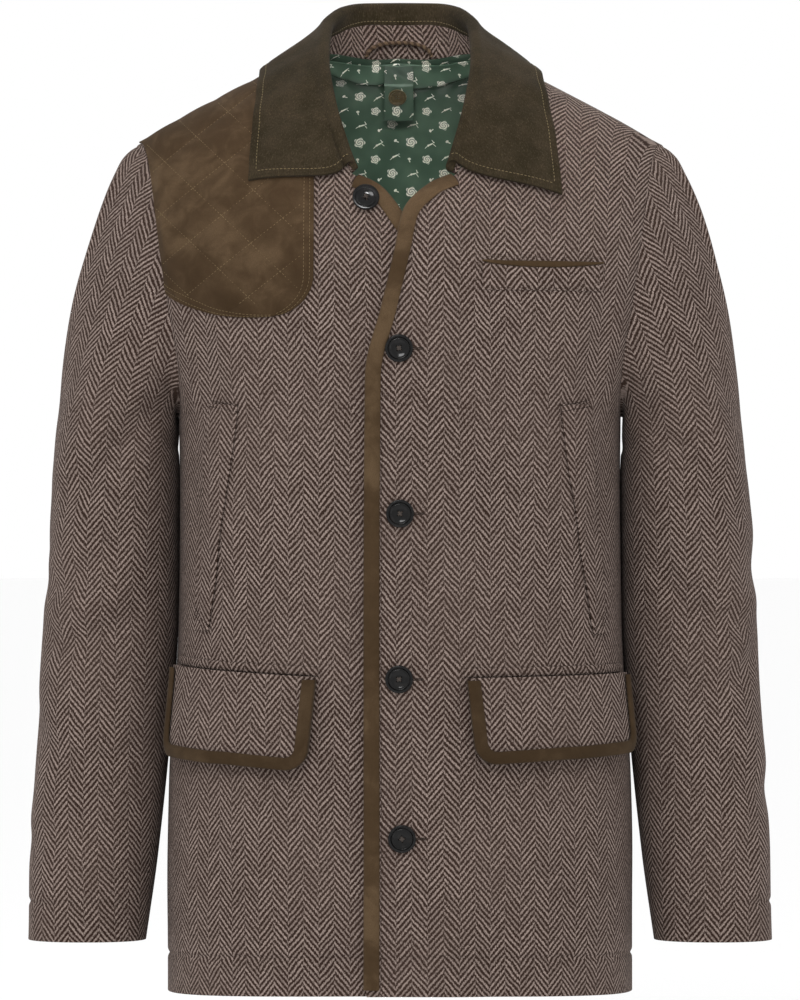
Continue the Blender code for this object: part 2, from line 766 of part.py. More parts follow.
def collar_station(along, side):
    """The visible surface of the collar across one station, and the top of the stand's inner face."""
    outer, inner, _, on = neck_frame(along, side)
    roll_x, roll_y, roll_z, edge_x, edge_climb, lean = (
        read(COLLAR, "along", name, along) for name in COLLAR_ROWS
    )
    if side > 0:
        edge_x += COLLAR_LEAN_X * lean
        edge_climb += COLLAR_LEAN_LEVEL * lean
    roll = np.array([roll_x, roll_y, roll_z])
    edge = over_shoulder(edge_x, edge_climb, COLLAR_CLOTH + COLLAR_REST)
    up = unit(roll - outer)
    out = edge - roll
    out = unit(out - up * np.dot(out, up))
    centre = roll - up * COLLAR_ROLL
    foot = inner + on * SEAM_GAP
    head = centre - out * COLLAR_ROLL
    rise = np.linalg.norm(head - foot)
    strip = min(COLLAR_STRIP, COLLAR_STRIP_SHARE * rise)
    stand_top = foot + (head - foot) * (1 - strip / rise)
    strip_foot = stand_top + unit(head - foot) * SEAM_GAP
    path = [strip_foot, head]
    for turn in COLLAR_ROLL_TURNS:
        cosine, sine = math.cos(math.radians(turn)), math.sin(math.radians(turn))
        path.append(centre - out * COLLAR_ROLL * cosine + up * COLLAR_ROLL * sine)
    start = path[-1]
    far = np.linalg.norm(edge - start)
    over = unit(np.cross(edge - start, np.cross(out, up)))
    if np.dot(over, out) < 0:
        over = -over
    first = start - up * far * COLLAR_START_DOWN + out * far * COLLAR_START_OUT
    second = edge + (start - edge) * COLLAR_END_BACK + over * far * COLLAR_BULGE
    for k in range(1, COLLAR_FALL_ROWS + 1):
        t = k / COLLAR_FALL_ROWS
        fall = (
            start * (1 - t) ** 3 + 3 * first * t * (1 - t) ** 2
            + 3 * second * t * t * (1 - t) + edge * t**3
        )
        path.append(clear_of_body(fall, side, COLLAR_CLOTH + COLLAR_LEAST))
    return path, stand_top, out


def collar_alongs():
    """Where the collar's stations stand on one half: at the back's columns and the front's rows."""
    at_back = [SHOULDER_ALONG * i / NECK_COLUMNS for i in range(NECK_COLUMNS)]
    rows = EDGE_ROWS[-1]
    return at_back + [SHOULDER_ALONG + (1 - SHOULDER_ALONG) * i / rows for i in range(rows + 1)]


def whole_collar():
    """All the collar's stations, from the wearer's right end to the left one."""
    stations = []
    for along in reversed(collar_alongs()):
        stations.append((along, -1))
    for along in collar_alongs()[1:]:
        stations.append((along, 1))
    return stations


def wall_inside(rows, thickness):
    """The points of a sheet's other face, a thickness behind it."""
    grid = np.array(rows)
    along = np.gradient(grid, axis=0)
    across = np.gradient(grid, axis=1)
    normals = np.cross(along, across)
    normals /= np.linalg.norm(normals, axis=2, keepdims=True)
    return [list(row) for row in grid - normals * thickness]


def add_collar():
    """The turned-down collar, and the stand that it is sewn to."""
    rows, stand_out, stand_in = [], [], []
    for along, side in whole_collar():
        path, stand_top, out = collar_station(along, side)
        rows.append([mirrored(point, side) for point in path])
        outer, inner, _, on = neck_frame(along, side)
        foot_out, foot_in = outer + on * LAID_GAP, inner + on * LAID_GAP
        top_out = stand_top + out * TWEED
        shares = [i / STAND_ROWS for i in range(STAND_ROWS + 1)]
        stand_out.append([mirrored(foot_out + (top_out - foot_out) * s, side) for s in shares])
        stand_in.append([mirrored(foot_in + (stand_top - foot_in) * s, side) for s in shares])
    add_wall("collar", rows, wall_inside(rows, COLLAR_CLOTH), "olive")
    add_wall("collar_stand", stand_out, stand_in, "tweed")


# ---- Suede bindings -----------------------------------------------------------------


def binding_profile(width, fold, outermost, innermost, gap):
    """Across a binding: how far inside the cloth's edge, and how far over its outer face."""
    over, under = gap + SUEDE, -TWEED - gap - SUEDE
    return (
        (width, over),
        (fold, over),
        (outermost, -FOLD_SHARE * TWEED),
        (outermost, -(1 - FOLD_SHARE) * TWEED),
        (fold, under),
        (width, under),
        (width, -TWEED - gap),
        (innermost, -TWEED - gap),
        (innermost, gap),
        (width, gap),
    )


def add_folded(name, rings):
    """Suede folded round an edge, from its section at each station."""
    sides = len(rings[0])
    points = [point for row in rings for point in row]
    faces = []
    for r in range(len(rings) - 1):
        for c in range(sides):
            a, b = r * sides + c, r * sides + (c + 1) % sides
            faces.append((a, b, b + sides, a + sides))
    last = (len(rings) - 1) * sides
    for end in BINDING_END_FACES:
        faces.append(tuple(reversed(end)))
        faces.append(tuple(last + i for i in end))
    return add_object(name, points, faces, "suede")


def add_edge_bindings():
    """The bindings of the two front edges, from the hem to the collar's ends."""
    profile = binding_profile(
        BINDING_WIDTH, BINDING_FOLD, -BINDING_GAP - SUEDE, -BINDING_GAP, BINDING_GAP
    )
    for side, name in ((1, "edge_binding_left"), (-1, "edge_binding_right")):
        rings = []
        below_collar = edge_levels()[: -EDGE_ROWS[-1]]
        below_collar[-1] -= BINDING_SHORT
        for level in below_collar:
            edge = front_spot(side, edge_angle(side, level), level)
            normal = unit(edge - front_spot(side, edge_angle(side, level), level, -TWEED))
            low, high = max(0.0, level - BINDING_STEP), level + BINDING_STEP
            tangent = unit(
                front_spot(side, edge_angle(side, high), high)
                - front_spot(side, edge_angle(side, low), low)
            )
            inside = unit(np.cross(tangent, normal)) * side
            section = []
            for far, off in profile:
                place = edge + inside * far
                section.append(view_spot(side, place[0] * side, place[2], off))
            rings.append(section)
        add_folded(name, rings)


# ---- Shoulder patch -----------------------------------------------------------------


def quilt_relief(x, z):
    """How far the quilting stands up at a place of the front view, 0 on its stitched lines."""
    down, up = np.array(QUILT_STEP_DOWN), np.array(QUILT_STEP_UP)
    offset = np.array([x, z]) - np.array(QUILT_NODE)
    i, j = np.linalg.solve(np.array([down, up]).T, offset)
    return abs(math.sin(math.pi * i) * math.sin(math.pi * j)) ** QUILT_FULLNESS


def patch_place(p, q):
    """Angle and level of a point of the patch: p runs to the armhole, q up to the shoulder."""
    low = PATCH_LOW_LEVEL + PATCH_LOW_RISE * p
    level = low + (PATCH_TOP_LEVEL - low) * q
    height = ring_height(PATCH_LOW_LEVEL + (PATCH_TOP_LEVEL - PATCH_LOW_LEVEL) * q)
    height -= ring_height(PATCH_LOW_LEVEL)
    inner = PATCH_INNER
    if height < PATCH_CORNER:
        inner += PATCH_CORNER - math.sqrt(max(0.0, PATCH_CORNER**2 - (PATCH_CORNER - height) ** 2))
    inner = max(inner, read(FRONT_EDGE, "level", "under_front", level) + PATCH_FROM_NECK)
    start = angle_at(inner, level)
    end = armhole_angle(-1, level) - PATCH_FROM_ARMHOLE
    return start + (end - start) * p, level


def add_patch():
    """The quilted patch, raised in its outer points over a plain inside."""
    outer, inner = [], []
    for r in range(PATCH_ROWS + 1):
        q = (r / PATCH_ROWS) ** PATCH_SPREAD
        outer_row, inner_row = [], []
        for c in range(PATCH_COLUMNS + 1):
            p = c / PATCH_COLUMNS
            angle, level = patch_place(p, q)
            spot = front_spot(-1, angle, level)
            rim = min(1.0, min(p, 1 - p, q, 1 - q) * PATCH_RIM_SLOPE)
            relief = QUILT_HEIGHT * rim * quilt_relief(-spot[0], spot[2])
            outer_row.append(front_spot(-1, angle, level, LAID_GAP + SUEDE + relief))
            inner_row.append(front_spot(-1, angle, level, LAID_GAP))
        outer.append(outer_row)
        inner.append(inner_row)
    add_wall("shoulder_patch", outer, inner, "suede")


# ---- Pockets ------------------------------------------------------------------------


def flap_side(flap, share, inset, toward):
    """Across and height of a point down one side of a flap and round to the middle of its foot."""
    inner, outer = flap.inner + inset, flap.outer - inset
    if toward > 0:
        start, top, low, splay = inner, flap.top_inner, flap.low_inner + inset, FLAP_SPLAY
    else:
        start, top, low, splay = outer, flap.top_outer, flap.low_outer + inset, -FLAP_OUTER_SPLAY
    corner = FLAP_CORNER - inset
    if share < FLAP_CORNER_START:
        down = share / FLAP_CORNER_START
        return start + splay * down, top - (top - low - corner) * down
    if share < FLAP_CORNER_END:
        round_corner = (share - FLAP_CORNER_START) / (FLAP_CORNER_END - FLAP_CORNER_START)
        turn = math.radians(90) * round_corner
        across = start + splay + toward * corner * (1 - math.cos(turn))
        return across, low + corner * (1 - math.sin(turn))
    along = (share - FLAP_CORNER_END) / (1 - FLAP_CORNER_END)
    middle = (inner + outer) / 2 - toward * FLAP_POINT_ASIDE
    foot = (flap.low_inner + flap.low_outer) / 2 + inset
    from_corner = start + splay + toward * corner
    return from_corner + (middle - from_corner) * along, low + (foot - low) * along


def flap_off(flap, height):
    """How far a flap's inner face stands off the front, more towards its foot."""
    depth = (flap.top_inner - height) / (flap.top_inner - flap.low_inner)
    return FLAP_STAND_OFF + SUEDE + FLAP_RIM_GAP + FLAP_TIP_OFF * max(0.0, depth)


def flap_spot(flap, across, height, out):
    """A point over a flap's inner face."""
    return girth_spot(flap.side, across, height, flap_off(flap, height) + out)


def add_flap(flap):
    """A flap of tweed, and the suede folded round its three free edges."""
    inset = SUEDE + 2 * LAID_GAP
    outer, inner = [], []
    for r in range(FLAP_ROWS + 1):
        x0, z0 = flap_side(flap, r / FLAP_ROWS, inset, 1)
        x1, z1 = flap_side(flap, r / FLAP_ROWS, inset, -1)
        outer_row, inner_row = [], []
        for c in range(FLAP_COLUMNS + 1):
            s = c / FLAP_COLUMNS
            place = (x0 + (x1 - x0) * s, z0 + (z1 - z0) * s)
            outer_row.append(flap_spot(flap, *place, TWEED))
            inner_row.append(flap_spot(flap, *place, 0))
        outer.append(outer_row)
        inner.append(inner_row)
    add_wall(f"flap_{flap.name}", outer, inner, "tweed")
    add_flap_binding(flap)


def add_flap_binding(flap):
    """The suede round a flap's two sides and its foot."""
    span = 1 - FLAP_BINDING_START
    shares = [FLAP_BINDING_START + span * i / FLAP_STATIONS for i in range(FLAP_STATIONS + 1)]
    stations = [(share, 1) for share in shares]
    stations += [(share, -1) for share in reversed(shares[:-1])]
    profile = binding_profile(1.0, FLAP_FOLD, 0.0, FLAP_FOLD_INSIDE, FLAP_RIM_GAP)
    rings = []
    for share, toward in stations:
        edge = np.array(flap_side(flap, share, 0, toward))
        inside = np.array(flap_side(flap, share, BINDING_WIDTH, toward))
        ring_points = []
        for far, off in profile:
            across, height = edge + (inside - edge) * far
            ring_points.append(flap_spot(flap, across, height, TWEED + off))
        rings.append(ring_points)
    add_folded(f"flap_binding_{flap.name}", rings)


def strip_rows(side, xs, top, low, out, spot):
    """Two rows of points, along a strip's top and along its foot."""
    return [[spot(side, x, line(x), out) for x in xs] for line in (top, low)]


def add_strip(name, side, ends, top, low, off, thick, key, spot):
    """A strip of cloth on a front, between two lines."""
    start, end = ends
    xs = [start + (end - start) * i / STRIP_COLUMNS for i in range(STRIP_COLUMNS + 1)]
    outer = strip_rows(side, xs, top, low, off + thick, spot)
    inner = strip_rows(side, xs, top, low, off, spot)
    add_wall(name, outer, inner, key)


def add_flap_welt(flap):
    """The narrow strip under which a flap is sewn in."""
    ends = (flap.inner - FLAP_WELT_LONGER, flap.outer + FLAP_WELT_LONGER)
    slope = (flap.top_outer - flap.top_inner) / (flap.outer - flap.inner)

    def low(x):
        return flap.top_inner + slope * (x - flap.inner) + FLAP_WELT_LIFT

    def top(x):
        return low(x) + FLAP_WELT_DEPTH

    name = f"flap_welt_{flap.name}"
    add_strip(name, flap.side, ends, top, low, LAID_GAP, FLAP_WELT_THICK, "tweed", girth_spot)


def add_breast_pocket():
    """The breast pocket's welt and its suede piping."""
    start, end = BREAST_ACROSS

    def top(x):
        return BREAST_TOP

    def piping_low(x):
        share = (x - start) / (end - start)
        fullness = math.sin(math.pi * share) ** PIPING_CURVE
        return BREAST_TOP - BREAST_PIPING * (PIPING_END + (1 - PIPING_END) * fullness)

    def welt_top(x):
        return piping_low(x) - LAID_GAP

    def welt_low(x):
        return BREAST_TOP - BREAST_DROP

    ends = BREAST_ACROSS
    add_strip("breast_piping", 1, ends, top, piping_low, LAID_GAP, PIPING_THICK, "suede", view_spot)
    add_strip("breast_welt", 1, ends, welt_top, welt_low, LAID_GAP, WELT_THICK, "tweed", view_spot)


def add_hand_welts():
    """The welts of the slanting hand pockets."""
    for side, name in ((1, "hand_welt_left"), (-1, "hand_welt_right")):
        table = HAND_WELTS[side]
        foot, head = table[0].height, table[-1].height
        outer, inner = [], []
        for r in range(HAND_WELT_ROWS + 1):
            height = foot + (head - foot) * r / HAND_WELT_ROWS
            edge, back = (read(table, "height", column, height) for column in ("edge", "back"))
            xs = [edge + (back - edge) * c / HAND_WELT_COLUMNS for c in range(HAND_WELT_COLUMNS + 1)]
            outer.append([girth_spot(side, x, height, HAND_WELT_OFF + HAND_WELT_THICK) for x in xs])
            inner.append([girth_spot(side, x, height, HAND_WELT_OFF) for x in xs])
        add_wall(name, outer, inner, "tweed")


# ---- Buttons ------------------------------------------------------------------------


def add_button(button, centre, normal, key):
    """A turned button with a raised rim, lying on the cloth."""
    normal = unit(unit(normal) + np.array([button.tilt, 0, BUTTON_TILT_UP * button.tilt]))
    right = unit(np.cross(UPWARD, normal))
    up = np.cross(normal, right)
    points, faces = [], []
    scale = button.radius / BUTTON_RADIUS
    for turning in BUTTON_TURNING:
        for i in range(BUTTON_SIDES):
            turn = 2 * math.pi * i / BUTTON_SIDES
            across = right * math.cos(turn) + up * math.sin(turn)
            points.append(centre + across * turning.out * button.radius + normal * turning.up * scale)
    top, foot = len(points), len(points) + 1
    points.append(centre + normal * BUTTON_MIDDLE * scale)
    points.append(centre + normal * BUTTON_FOOT * scale)
    for r in range(len(BUTTON_TURNING) - 1):
        for i in range(BUTTON_SIDES):
            a, b = r * BUTTON_SIDES + i, r * BUTTON_SIDES + (i + 1) % BUTTON_SIDES
            faces.append((a, a + BUTTON_SIDES, b + BUTTON_SIDES, b))
    last = (len(BUTTON_TURNING) - 1) * BUTTON_SIDES
    for i in range(BUTTON_SIDES):
        j = (i + 1) % BUTTON_SIDES
        faces.append((top, i, j))
        faces.append((foot, last + j, last + i))
    add_object(button.name, points, faces, key)


def add_buttons():
    """The front's buttons; the top one is on the under front, and undone."""
    for button in BUTTONS:
        lift = BUTTON_LIFT + BUTTON_TILT_LIFT * abs(button.tilt) * button.radius
        at = view_spot(button.side, button.across, button.height, lift)
        under = view_spot(button.side, button.across, button.height, 0)
        add_button(button, at, at - under, "button")


# ---- Neck ---------------------------------------------------------------------------


def lining_spot(share, down, out):
    """A point inside the back: across from -1 to 1, and down from the neck seam."""
    angle = share * LINING_HALF_ANGLE
    neck, _ = back_columns()
    top = neckline_level(angle / armhole_angle(1, 2.0), neck) - LINING_BELOW_SEAM
    level = top + (LINING_LOW_LEVEL - top) * down
    near = math.exp(-(((down - LINING_RIDGE_AT) / LINING_RIDGE_REACH) ** 2))
    ridge = LINING_RIDGE * near * (1 - share**2)
    return back_spot(angle, level, -TWEED - LINING_GAP - ridge - out)


def add_lining():
    """The lining where it shows in the neck, with the fold under the neck seam."""
    outer, inner = [], []
    for r in range(LINING_ROWS + 1):
        down = (r / LINING_ROWS) ** LINING_ROW_SPREAD
        shares = [-1 + 2 * c / LINING_COLUMNS for c in range(LINING_COLUMNS + 1)]
        outer.append([lining_spot(share, down, 0) for share in shares])
        inner.append([lining_spot(share, down, LINING) for share in shares])
    add_wall("lining_back", outer, inner, "lining")


def inside_back(x, z, out):
    """A point before the inside of the back, placed by where it shows from the front."""
    level = level_at(x, z)
    point = body_point(1, angle_at(x, level), level)
    return point - body_normal(1, angle_at(x, level), level) * (TWEED + out)


def add_tab():
    """The tab on the lining, and its button."""
    clear = LINING_GAP + LINING + LINING_RIDGE + LAID_GAP
    outer, inner = [], []
    xs = [TAB_LEFT + (TAB_RIGHT - TAB_LEFT) * c / TAB_COLUMNS for c in range(TAB_COLUMNS + 1)]
    for r in range(TAB_ROWS + 1):
        z = TAB_TOP + (TAB_LOW - TAB_TOP) * r / TAB_ROWS
        outer.append([inside_back(x, z, clear) for x in xs])
        inner.append([inside_back(x, z, clear + LINING) for x in xs])
    add_wall("lining_tab", outer, inner, "lining")
    at = inside_back(TAB_BUTTON.across, TAB_BUTTON.height, clear + LINING + TAB_BUTTON_LIFT)
    behind = inside_back(TAB_BUTTON.across, TAB_BUTTON.height, 0)
    add_button(TAB_BUTTON, at, at - behind, "tab button")


def loop_point(t):
    """The hanger loop's centre line, from end to end."""
    left, right = LOOP_ENDS
    x = left + (right - left) * t
    share = abs(2 * t - 1)
    z = LOOP_FOOT + (LOOP_TOP - LOOP_FOOT) * math.sqrt(max(0.0, 1 - share**LOOP_FULLNESS))
    inner = neck_seam(SHOULDER_ALONG * abs(x) / NECK_HALF, 1, -TWEED)
    return np.array([x, inner[1] - LOOP_STAND_OFF, z])


def add_loop():
    """The twisted cord by which the jacket is hung up."""
    curve = bpy.data.curves.new("hanger_loop", "CURVE")
    curve.dimensions = "3D"
    curve.bevel_depth = LOOP_DIAMETER / 2
    curve.bevel_resolution = 2
    curve.use_fill_caps = True
    spline = curve.splines.new("POLY")
    spline.points.add(LOOP_POINTS - 1)
    for i, point in enumerate(spline.points):
        t = (1 - math.cos(math.pi * i / (LOOP_POINTS - 1))) / 2
        point.co = (*loop_point(t), 1)
    curve.materials.append(material("cord"))
    loop = bpy.data.objects.new("hanger_loop", curve)
    bpy.context.scene.collection.objects.link(loop)


def main():
    for old in list(bpy.data.objects):
        bpy.data.objects.remove(old, do_unlink=True)
    add_panels()
    add_sleeves()
    add_collar()
    add_edge_bindings()
    add_patch()
    for flap in FLAPS:
        add_flap(flap)
        add_flap_welt(flap)
    add_breast_pocket()
    add_hand_welts()
    add_buttons()
    add_lining()
    add_tab()
    add_loop()


main()
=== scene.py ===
# %% [markdown]
# # A tweed field jacket with a quilted shoulder patch
#
# The jacket hangs as it does on a body, with nobody in it. This lesson dresses its plain
# solids: herringbone tweed, brown suede, an olive collar, a printed satin lining and horn
# buttons. Lengths are in metres, +Z is up, the front looks along -Y, and the wearer's left
# is at +X.

# %% Load the solids
import math
from collections import namedtuple

import bmesh
import bpy
import numpy as np
from mathutils import Matrix, Vector


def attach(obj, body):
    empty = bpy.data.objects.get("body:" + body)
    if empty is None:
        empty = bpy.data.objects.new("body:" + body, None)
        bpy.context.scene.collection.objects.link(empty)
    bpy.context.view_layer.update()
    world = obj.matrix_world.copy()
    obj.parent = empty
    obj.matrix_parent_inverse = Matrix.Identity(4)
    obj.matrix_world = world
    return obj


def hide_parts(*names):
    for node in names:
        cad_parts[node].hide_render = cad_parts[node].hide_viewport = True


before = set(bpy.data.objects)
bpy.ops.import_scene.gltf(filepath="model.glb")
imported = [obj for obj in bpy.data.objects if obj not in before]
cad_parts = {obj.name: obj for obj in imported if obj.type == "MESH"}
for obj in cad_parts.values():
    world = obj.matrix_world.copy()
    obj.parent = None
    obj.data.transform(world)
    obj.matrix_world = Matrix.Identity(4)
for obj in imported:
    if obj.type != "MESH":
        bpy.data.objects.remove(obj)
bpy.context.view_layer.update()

# %% [markdown]
# ## Camera
#
# A photo taken from far away with a long lens keeps a garment's outline true. The camera
# looks straight at the front from 5 m, level with the middle of the jacket. Its long lens
# makes one pixel of the photo 0.85 mm of cloth.

# %% Camera
CAMERA_AWAY = 5.0
CAMERA_HEIGHT = -0.35275
PIXEL = 0.00085
FRAME_HEIGHT = 1000
SENSOR = 36.0

lens = bpy.data.cameras.new("studio_camera")
lens.sensor_fit = "VERTICAL"
lens.sensor_height = SENSOR
lens.lens = SENSOR * CAMERA_AWAY / (PIXEL * FRAME_HEIGHT)
camera = bpy.data.objects.new("studio_camera", lens)
bpy.context.scene.collection.objects.link(camera)
camera.location = (0, -CAMERA_AWAY, CAMERA_HEIGHT)
camera.rotation_euler = (math.radians(90), 0, 0)
bpy.context.scene.camera = camera
print("lens", round(lens.lens, 1), "mm")

# %% [markdown]
# ## Light and floor
#
# Catalogue photos of clothes use big soft lights near the camera and a white room, so that
# the cloth shows and shadows stay faint. The white world fills every fold. One wide light
# high in front models the form, a weaker one from the left keeps the sides apart, and a
# narrow one looks into the neck, where the satin would else be too dark.
# The colours are shown without a film curve, so that a dyed cloth keeps its own colour.

# %% Light and floor
ROOM = 1.0
FLOOR_HEIGHT, FLOOR_RADIUS = -0.95, 40
FLOOR_GREY, FLOOR_ROUGHNESS = (0.97, 0.97, 0.97, 1), 0.9

bpy.context.scene.view_settings.view_transform = "Standard"
world = bpy.data.worlds.new("white_room")
bpy.context.scene.world = world
world.use_nodes = True
world.node_tree.nodes["Background"].inputs["Color"].default_value = (1, 1, 1, 1)
world.node_tree.nodes["Background"].inputs["Strength"].default_value = ROOM

Light = namedtuple("Light", "name place aim width height power spread")
LIGHTS = (
    Light("front_light", (-0.55, -3.6, 1.7), (0, 0, -0.35), 1.2, 0.9, 44, 180),
    Light("side_light", (-3.4, -1.6, 0.9), (0, 0, -0.35), 1.4, 2.0, 7, 180),
    Light("neck_light", (0.25, -2.0, 1.15), (0, 0.09, -0.02), 0.35, 0.35, 0.15, 7),
)
for light in LIGHTS:
    lamp = bpy.data.lights.new(light.name, "AREA")
    lamp.shape = "RECTANGLE"
    lamp.size, lamp.size_y, lamp.energy = light.width, light.height, light.power
    lamp.spread = math.radians(light.spread)
    hung = bpy.data.objects.new(light.name, lamp)
    bpy.context.scene.collection.objects.link(hung)
    hung.location = light.place
    way = Vector(light.aim) - Vector(light.place)
    hung.rotation_euler = way.to_track_quat("-Z", "Y").to_euler()

bpy.ops.object.select_all(action="DESELECT")
bpy.ops.mesh.primitive_circle_add(
    vertices=96, radius=FLOOR_RADIUS, fill_type="NGON", location=(0, 0, FLOOR_HEIGHT)
)
floor = bpy.context.object
floor.name = "studio_floor"
floor_paint = bpy.data.materials.new("pale_floor")
floor_paint.use_nodes = True
floor_shader = floor_paint.node_tree.nodes["Principled BSDF"]
floor_shader.inputs["Base Color"].default_value = FLOOR_GREY
floor_shader.inputs["Roughness"].default_value = FLOOR_ROUGHNESS
floor.data.materials.append(floor_paint)
print("lights:", [light.name for light in LIGHTS])

# %% [markdown]
# ## The shape that the cloth is laid on
#
# A tailor cuts flat cloth so that it closes round a body. Here the body is described once:
# a few named sections give its width and depth at each height, and one function turns an
# angle round the body and a level up it into a point. Every piece asks this function where
# to lie, so pieces that are sewn together meet.

# %% Sections of the body
HEM, HEM_LIFT, CHEST = -0.768, 0.006, -0.250
ARMPIT_LEVEL = (-0.285 - HEM) / (CHEST - HEM)
RIDGE, SHOULDER_SLOPE, SHOULDER_ROUND = 0.0537, 0.529, 0.030
NECK_HALF = 0.078
SEAM_GAP, LAID_GAP = 0.0003, 0.0005
TWEED, SUEDE, COLLAR_CLOTH, LINING = 0.003, 0.0015, 0.003, 0.0010

Section = namedtuple("Section", "name height half_width front back squareness")
SECTIONS = (
    Section("hem", -0.768, 0.1972, 0.1515, 0.1480, 2.28),
    Section("seat", -0.660, 0.1970, 0.1530, 0.1490, 2.50),
    Section("hip", -0.585, 0.1957, 0.1525, 0.1440, 2.45),
    Section("waist", -0.460, 0.1882, 0.1500, 0.1300, 2.40),
    Section("ribs", -0.360, 0.1868, 0.1480, 0.1340, 2.40),
    Section("armpit", -0.285, 0.1875, 0.1460, 0.1390, 2.40),
    Section("chest", -0.250, 0.1960, 0.1450, 0.1400, 2.40),
    Section("breast", -0.170, 0.2130, 0.1450, 0.1400, 2.40),
    Section("collarbone", -0.090, 0.2240, 0.1440, 0.1390, 2.35),
    Section("shoulder", 0.000, 0.2320, 0.1420, 0.1380, 2.30),
    Section("ridge", 0.0537, 0.2350, 0.1400, 0.1370, 2.30),
)


def reader(table, key, column):
    """A function that reads a table's column at any key, on a smooth curve with no overshoot."""
    places = np.array([getattr(row, key) for row in table], float)
    values = np.array([getattr(row, column) for row in table], float)
    steps = np.diff(places)
    rises = np.diff(values) / steps
    before, after = rises[:-1], rises[1:]
    same_way = before * after > 0
    middle = np.where(same_way, 2 * before * after / np.where(same_way, before + after, 1), 0)
    slopes = np.concatenate([rises[:1], middle, rises[-1:]])

    def read(at):
        i = np.clip(np.searchsorted(places, at, side="right") - 1, 0, len(steps) - 1)
        t = np.clip((at - places[i]) / steps[i], 0, 1)
        start = (1 + 2 * t) * (1 - t) ** 2 * values[i] + t * (1 - t) ** 2 * steps[i] * slopes[i]
        end = t * t * (3 - 2 * t) * values[i + 1] + t * t * (t - 1) * steps[i] * slopes[i + 1]
        return start + end

    return read


SHAPE = {column: reader(SECTIONS, "height", column) for column in Section._fields[2:]}
print("chest is", round(2 * float(SHAPE["half_width"](CHEST)), 3), "m wide")


# %% A point of the body
def step(value):
    """0 below 0, 1 above 1, and a soft S between them."""
    value = np.clip(value, 0, 1)
    return value * value * (3 - 2 * value)


def bump(distance, width):
    """1 where the distance is 0, and softly down to 0 within a few widths."""
    return np.exp(-((distance / width) ** 2))


def ridge_at(x):
    """Height of the shoulder line."""
    return RIDGE - SHOULDER_SLOPE * (np.hypot(x, SHOULDER_ROUND) - SHOULDER_ROUND)


def rounding(level):
    """How far a level has rounded in over the chest, a right angle at the shoulder seam."""
    return np.radians(90) * np.clip(np.asarray(level, float) - 1, 0, None)


def ring_height(level):
    """Height of a level at the middle of the body."""
    over = CHEST + (RIDGE - CHEST) * np.sin(np.minimum(rounding(level), np.pi / 2))
    return np.where(np.asarray(level) <= 1, HEM + (CHEST - HEM) * np.asarray(level), over)


def body_point(face, angle, level):
    """Points of the cloth's outside: face is -1 at the front and 1 at the back."""
    angle, level = np.broadcast_arrays(np.asarray(angle, float), np.asarray(level, float))
    height = ring_height(level)
    power = SHAPE["squareness"](height)
    sine, cosine = np.sin(np.radians(angle)), np.cos(np.radians(angle))
    reach = (np.abs(sine) ** power + np.abs(cosine) ** power) ** (-1 / power)
    x = SHAPE["half_width"](height) * sine * reach
    depth = SHAPE[
        "front" if face < 0 else "back"
    ](height) * cosine * reach * np.cos(rounding(level))
    low = height + HEM_LIFT * np.clip(1 - level, 0, None) ** 2 * cosine**2
    z = np.where(level <= 1, low, CHEST + (ridge_at(x) - CHEST) * np.sin(rounding(level)))
    return np.stack([x, face * (SEAM_GAP / 2 + depth), z], -1)


def unit(vectors):
    """Vectors made one long."""
    return vectors / np.maximum(np.linalg.norm(vectors, axis=-1, keepdims=True), 1e-12)


def body_normal(face, angle, level):
    """The way out of the cloth."""
    across = body_point(face, angle + 0.5, level) - body_point(face, angle - 0.5, level)
    up = body_point(face, angle, level + 0.004) - body_point(face, angle, level - 0.004)
    return unit(np.cross(across, up) * -face)


def angle_at(x, level):
    """The angle at which a level is this far from the middle."""
    height = ring_height(level)
    power = SHAPE["squareness"](height)
    share = np.clip(np.abs(x) / SHAPE["half_width"](height), 1e-6, 0.9999)
    turn = np.degrees(np.arctan2(1, (share**-power - 1) ** (1 / power)))
    return np.copysign(turn, x)


def level_at(x, z):
    """The level that passes through a place of the front view."""
    over = 1 + np.arcsin(np.clip((z - CHEST) / (ridge_at(x) - CHEST), 0, 1)) / np.radians(90)
    return np.where(z <= CHEST, (z - HEM) / (CHEST - HEM), over)


print("front of the chest at y =", round(float(body_point(-1, 0.0, 1.0)[1]), 3))

# %% [markdown]
# The wearer's left front laps over the right one, so it is lifted by a cloth's thickness
# and a little air. The lift fades out towards the side and towards the neck.

# %% Points of the fronts and the back
OVERLAP_LIFT, OVERLAP_FLAT, OVERLAP_RAMP = 0.0062, 0.034, 0.055
OVERLAP_TOP, OVERLAP_FADE = -0.105, 0.040
CROSSING_LIFT, CROSSING_HEIGHT, CROSSING_REACH = 0.0036, -0.128, 0.040


def overlap_lift(side, x, z):
    """How far the wearer's left front stands off the other one."""
    if side < 0:
        return 0.0 * x
    across = 1 - step((x - OVERLAP_FLAT) / OVERLAP_RAMP)
    crossing = CROSSING_LIFT * np.exp(-(((z - CROSSING_HEIGHT) / CROSSING_REACH) ** 2))
    return (OVERLAP_LIFT + crossing) * across * (1 - step((z - OVERLAP_TOP) / OVERLAP_FADE))


def front_point(side, angle, level, out=0.0):
    """Points on or over a front; angles count towards its own side."""
    point = body_point(-1, angle, level)
    lift = overlap_lift(side, point[..., 0], point[..., 2]) + out
    return (point + body_normal(-1, angle, level) * lift[..., None]) * np.array([side, 1, 1])


def back_point(angle, level, out=0.0):
    """Points on or over the back."""
    out = np.asarray(out, float) + 0.0 * np.asarray(angle, float)
    return body_point(1, angle, level) + body_normal(1, angle, level) * out[..., None]


def view_point(side, x, z, out=0.0):
    """Points on or over a front, placed by where they show from the front."""
    level = level_at(x, z)
    return front_point(side, angle_at(x, level), level, out)


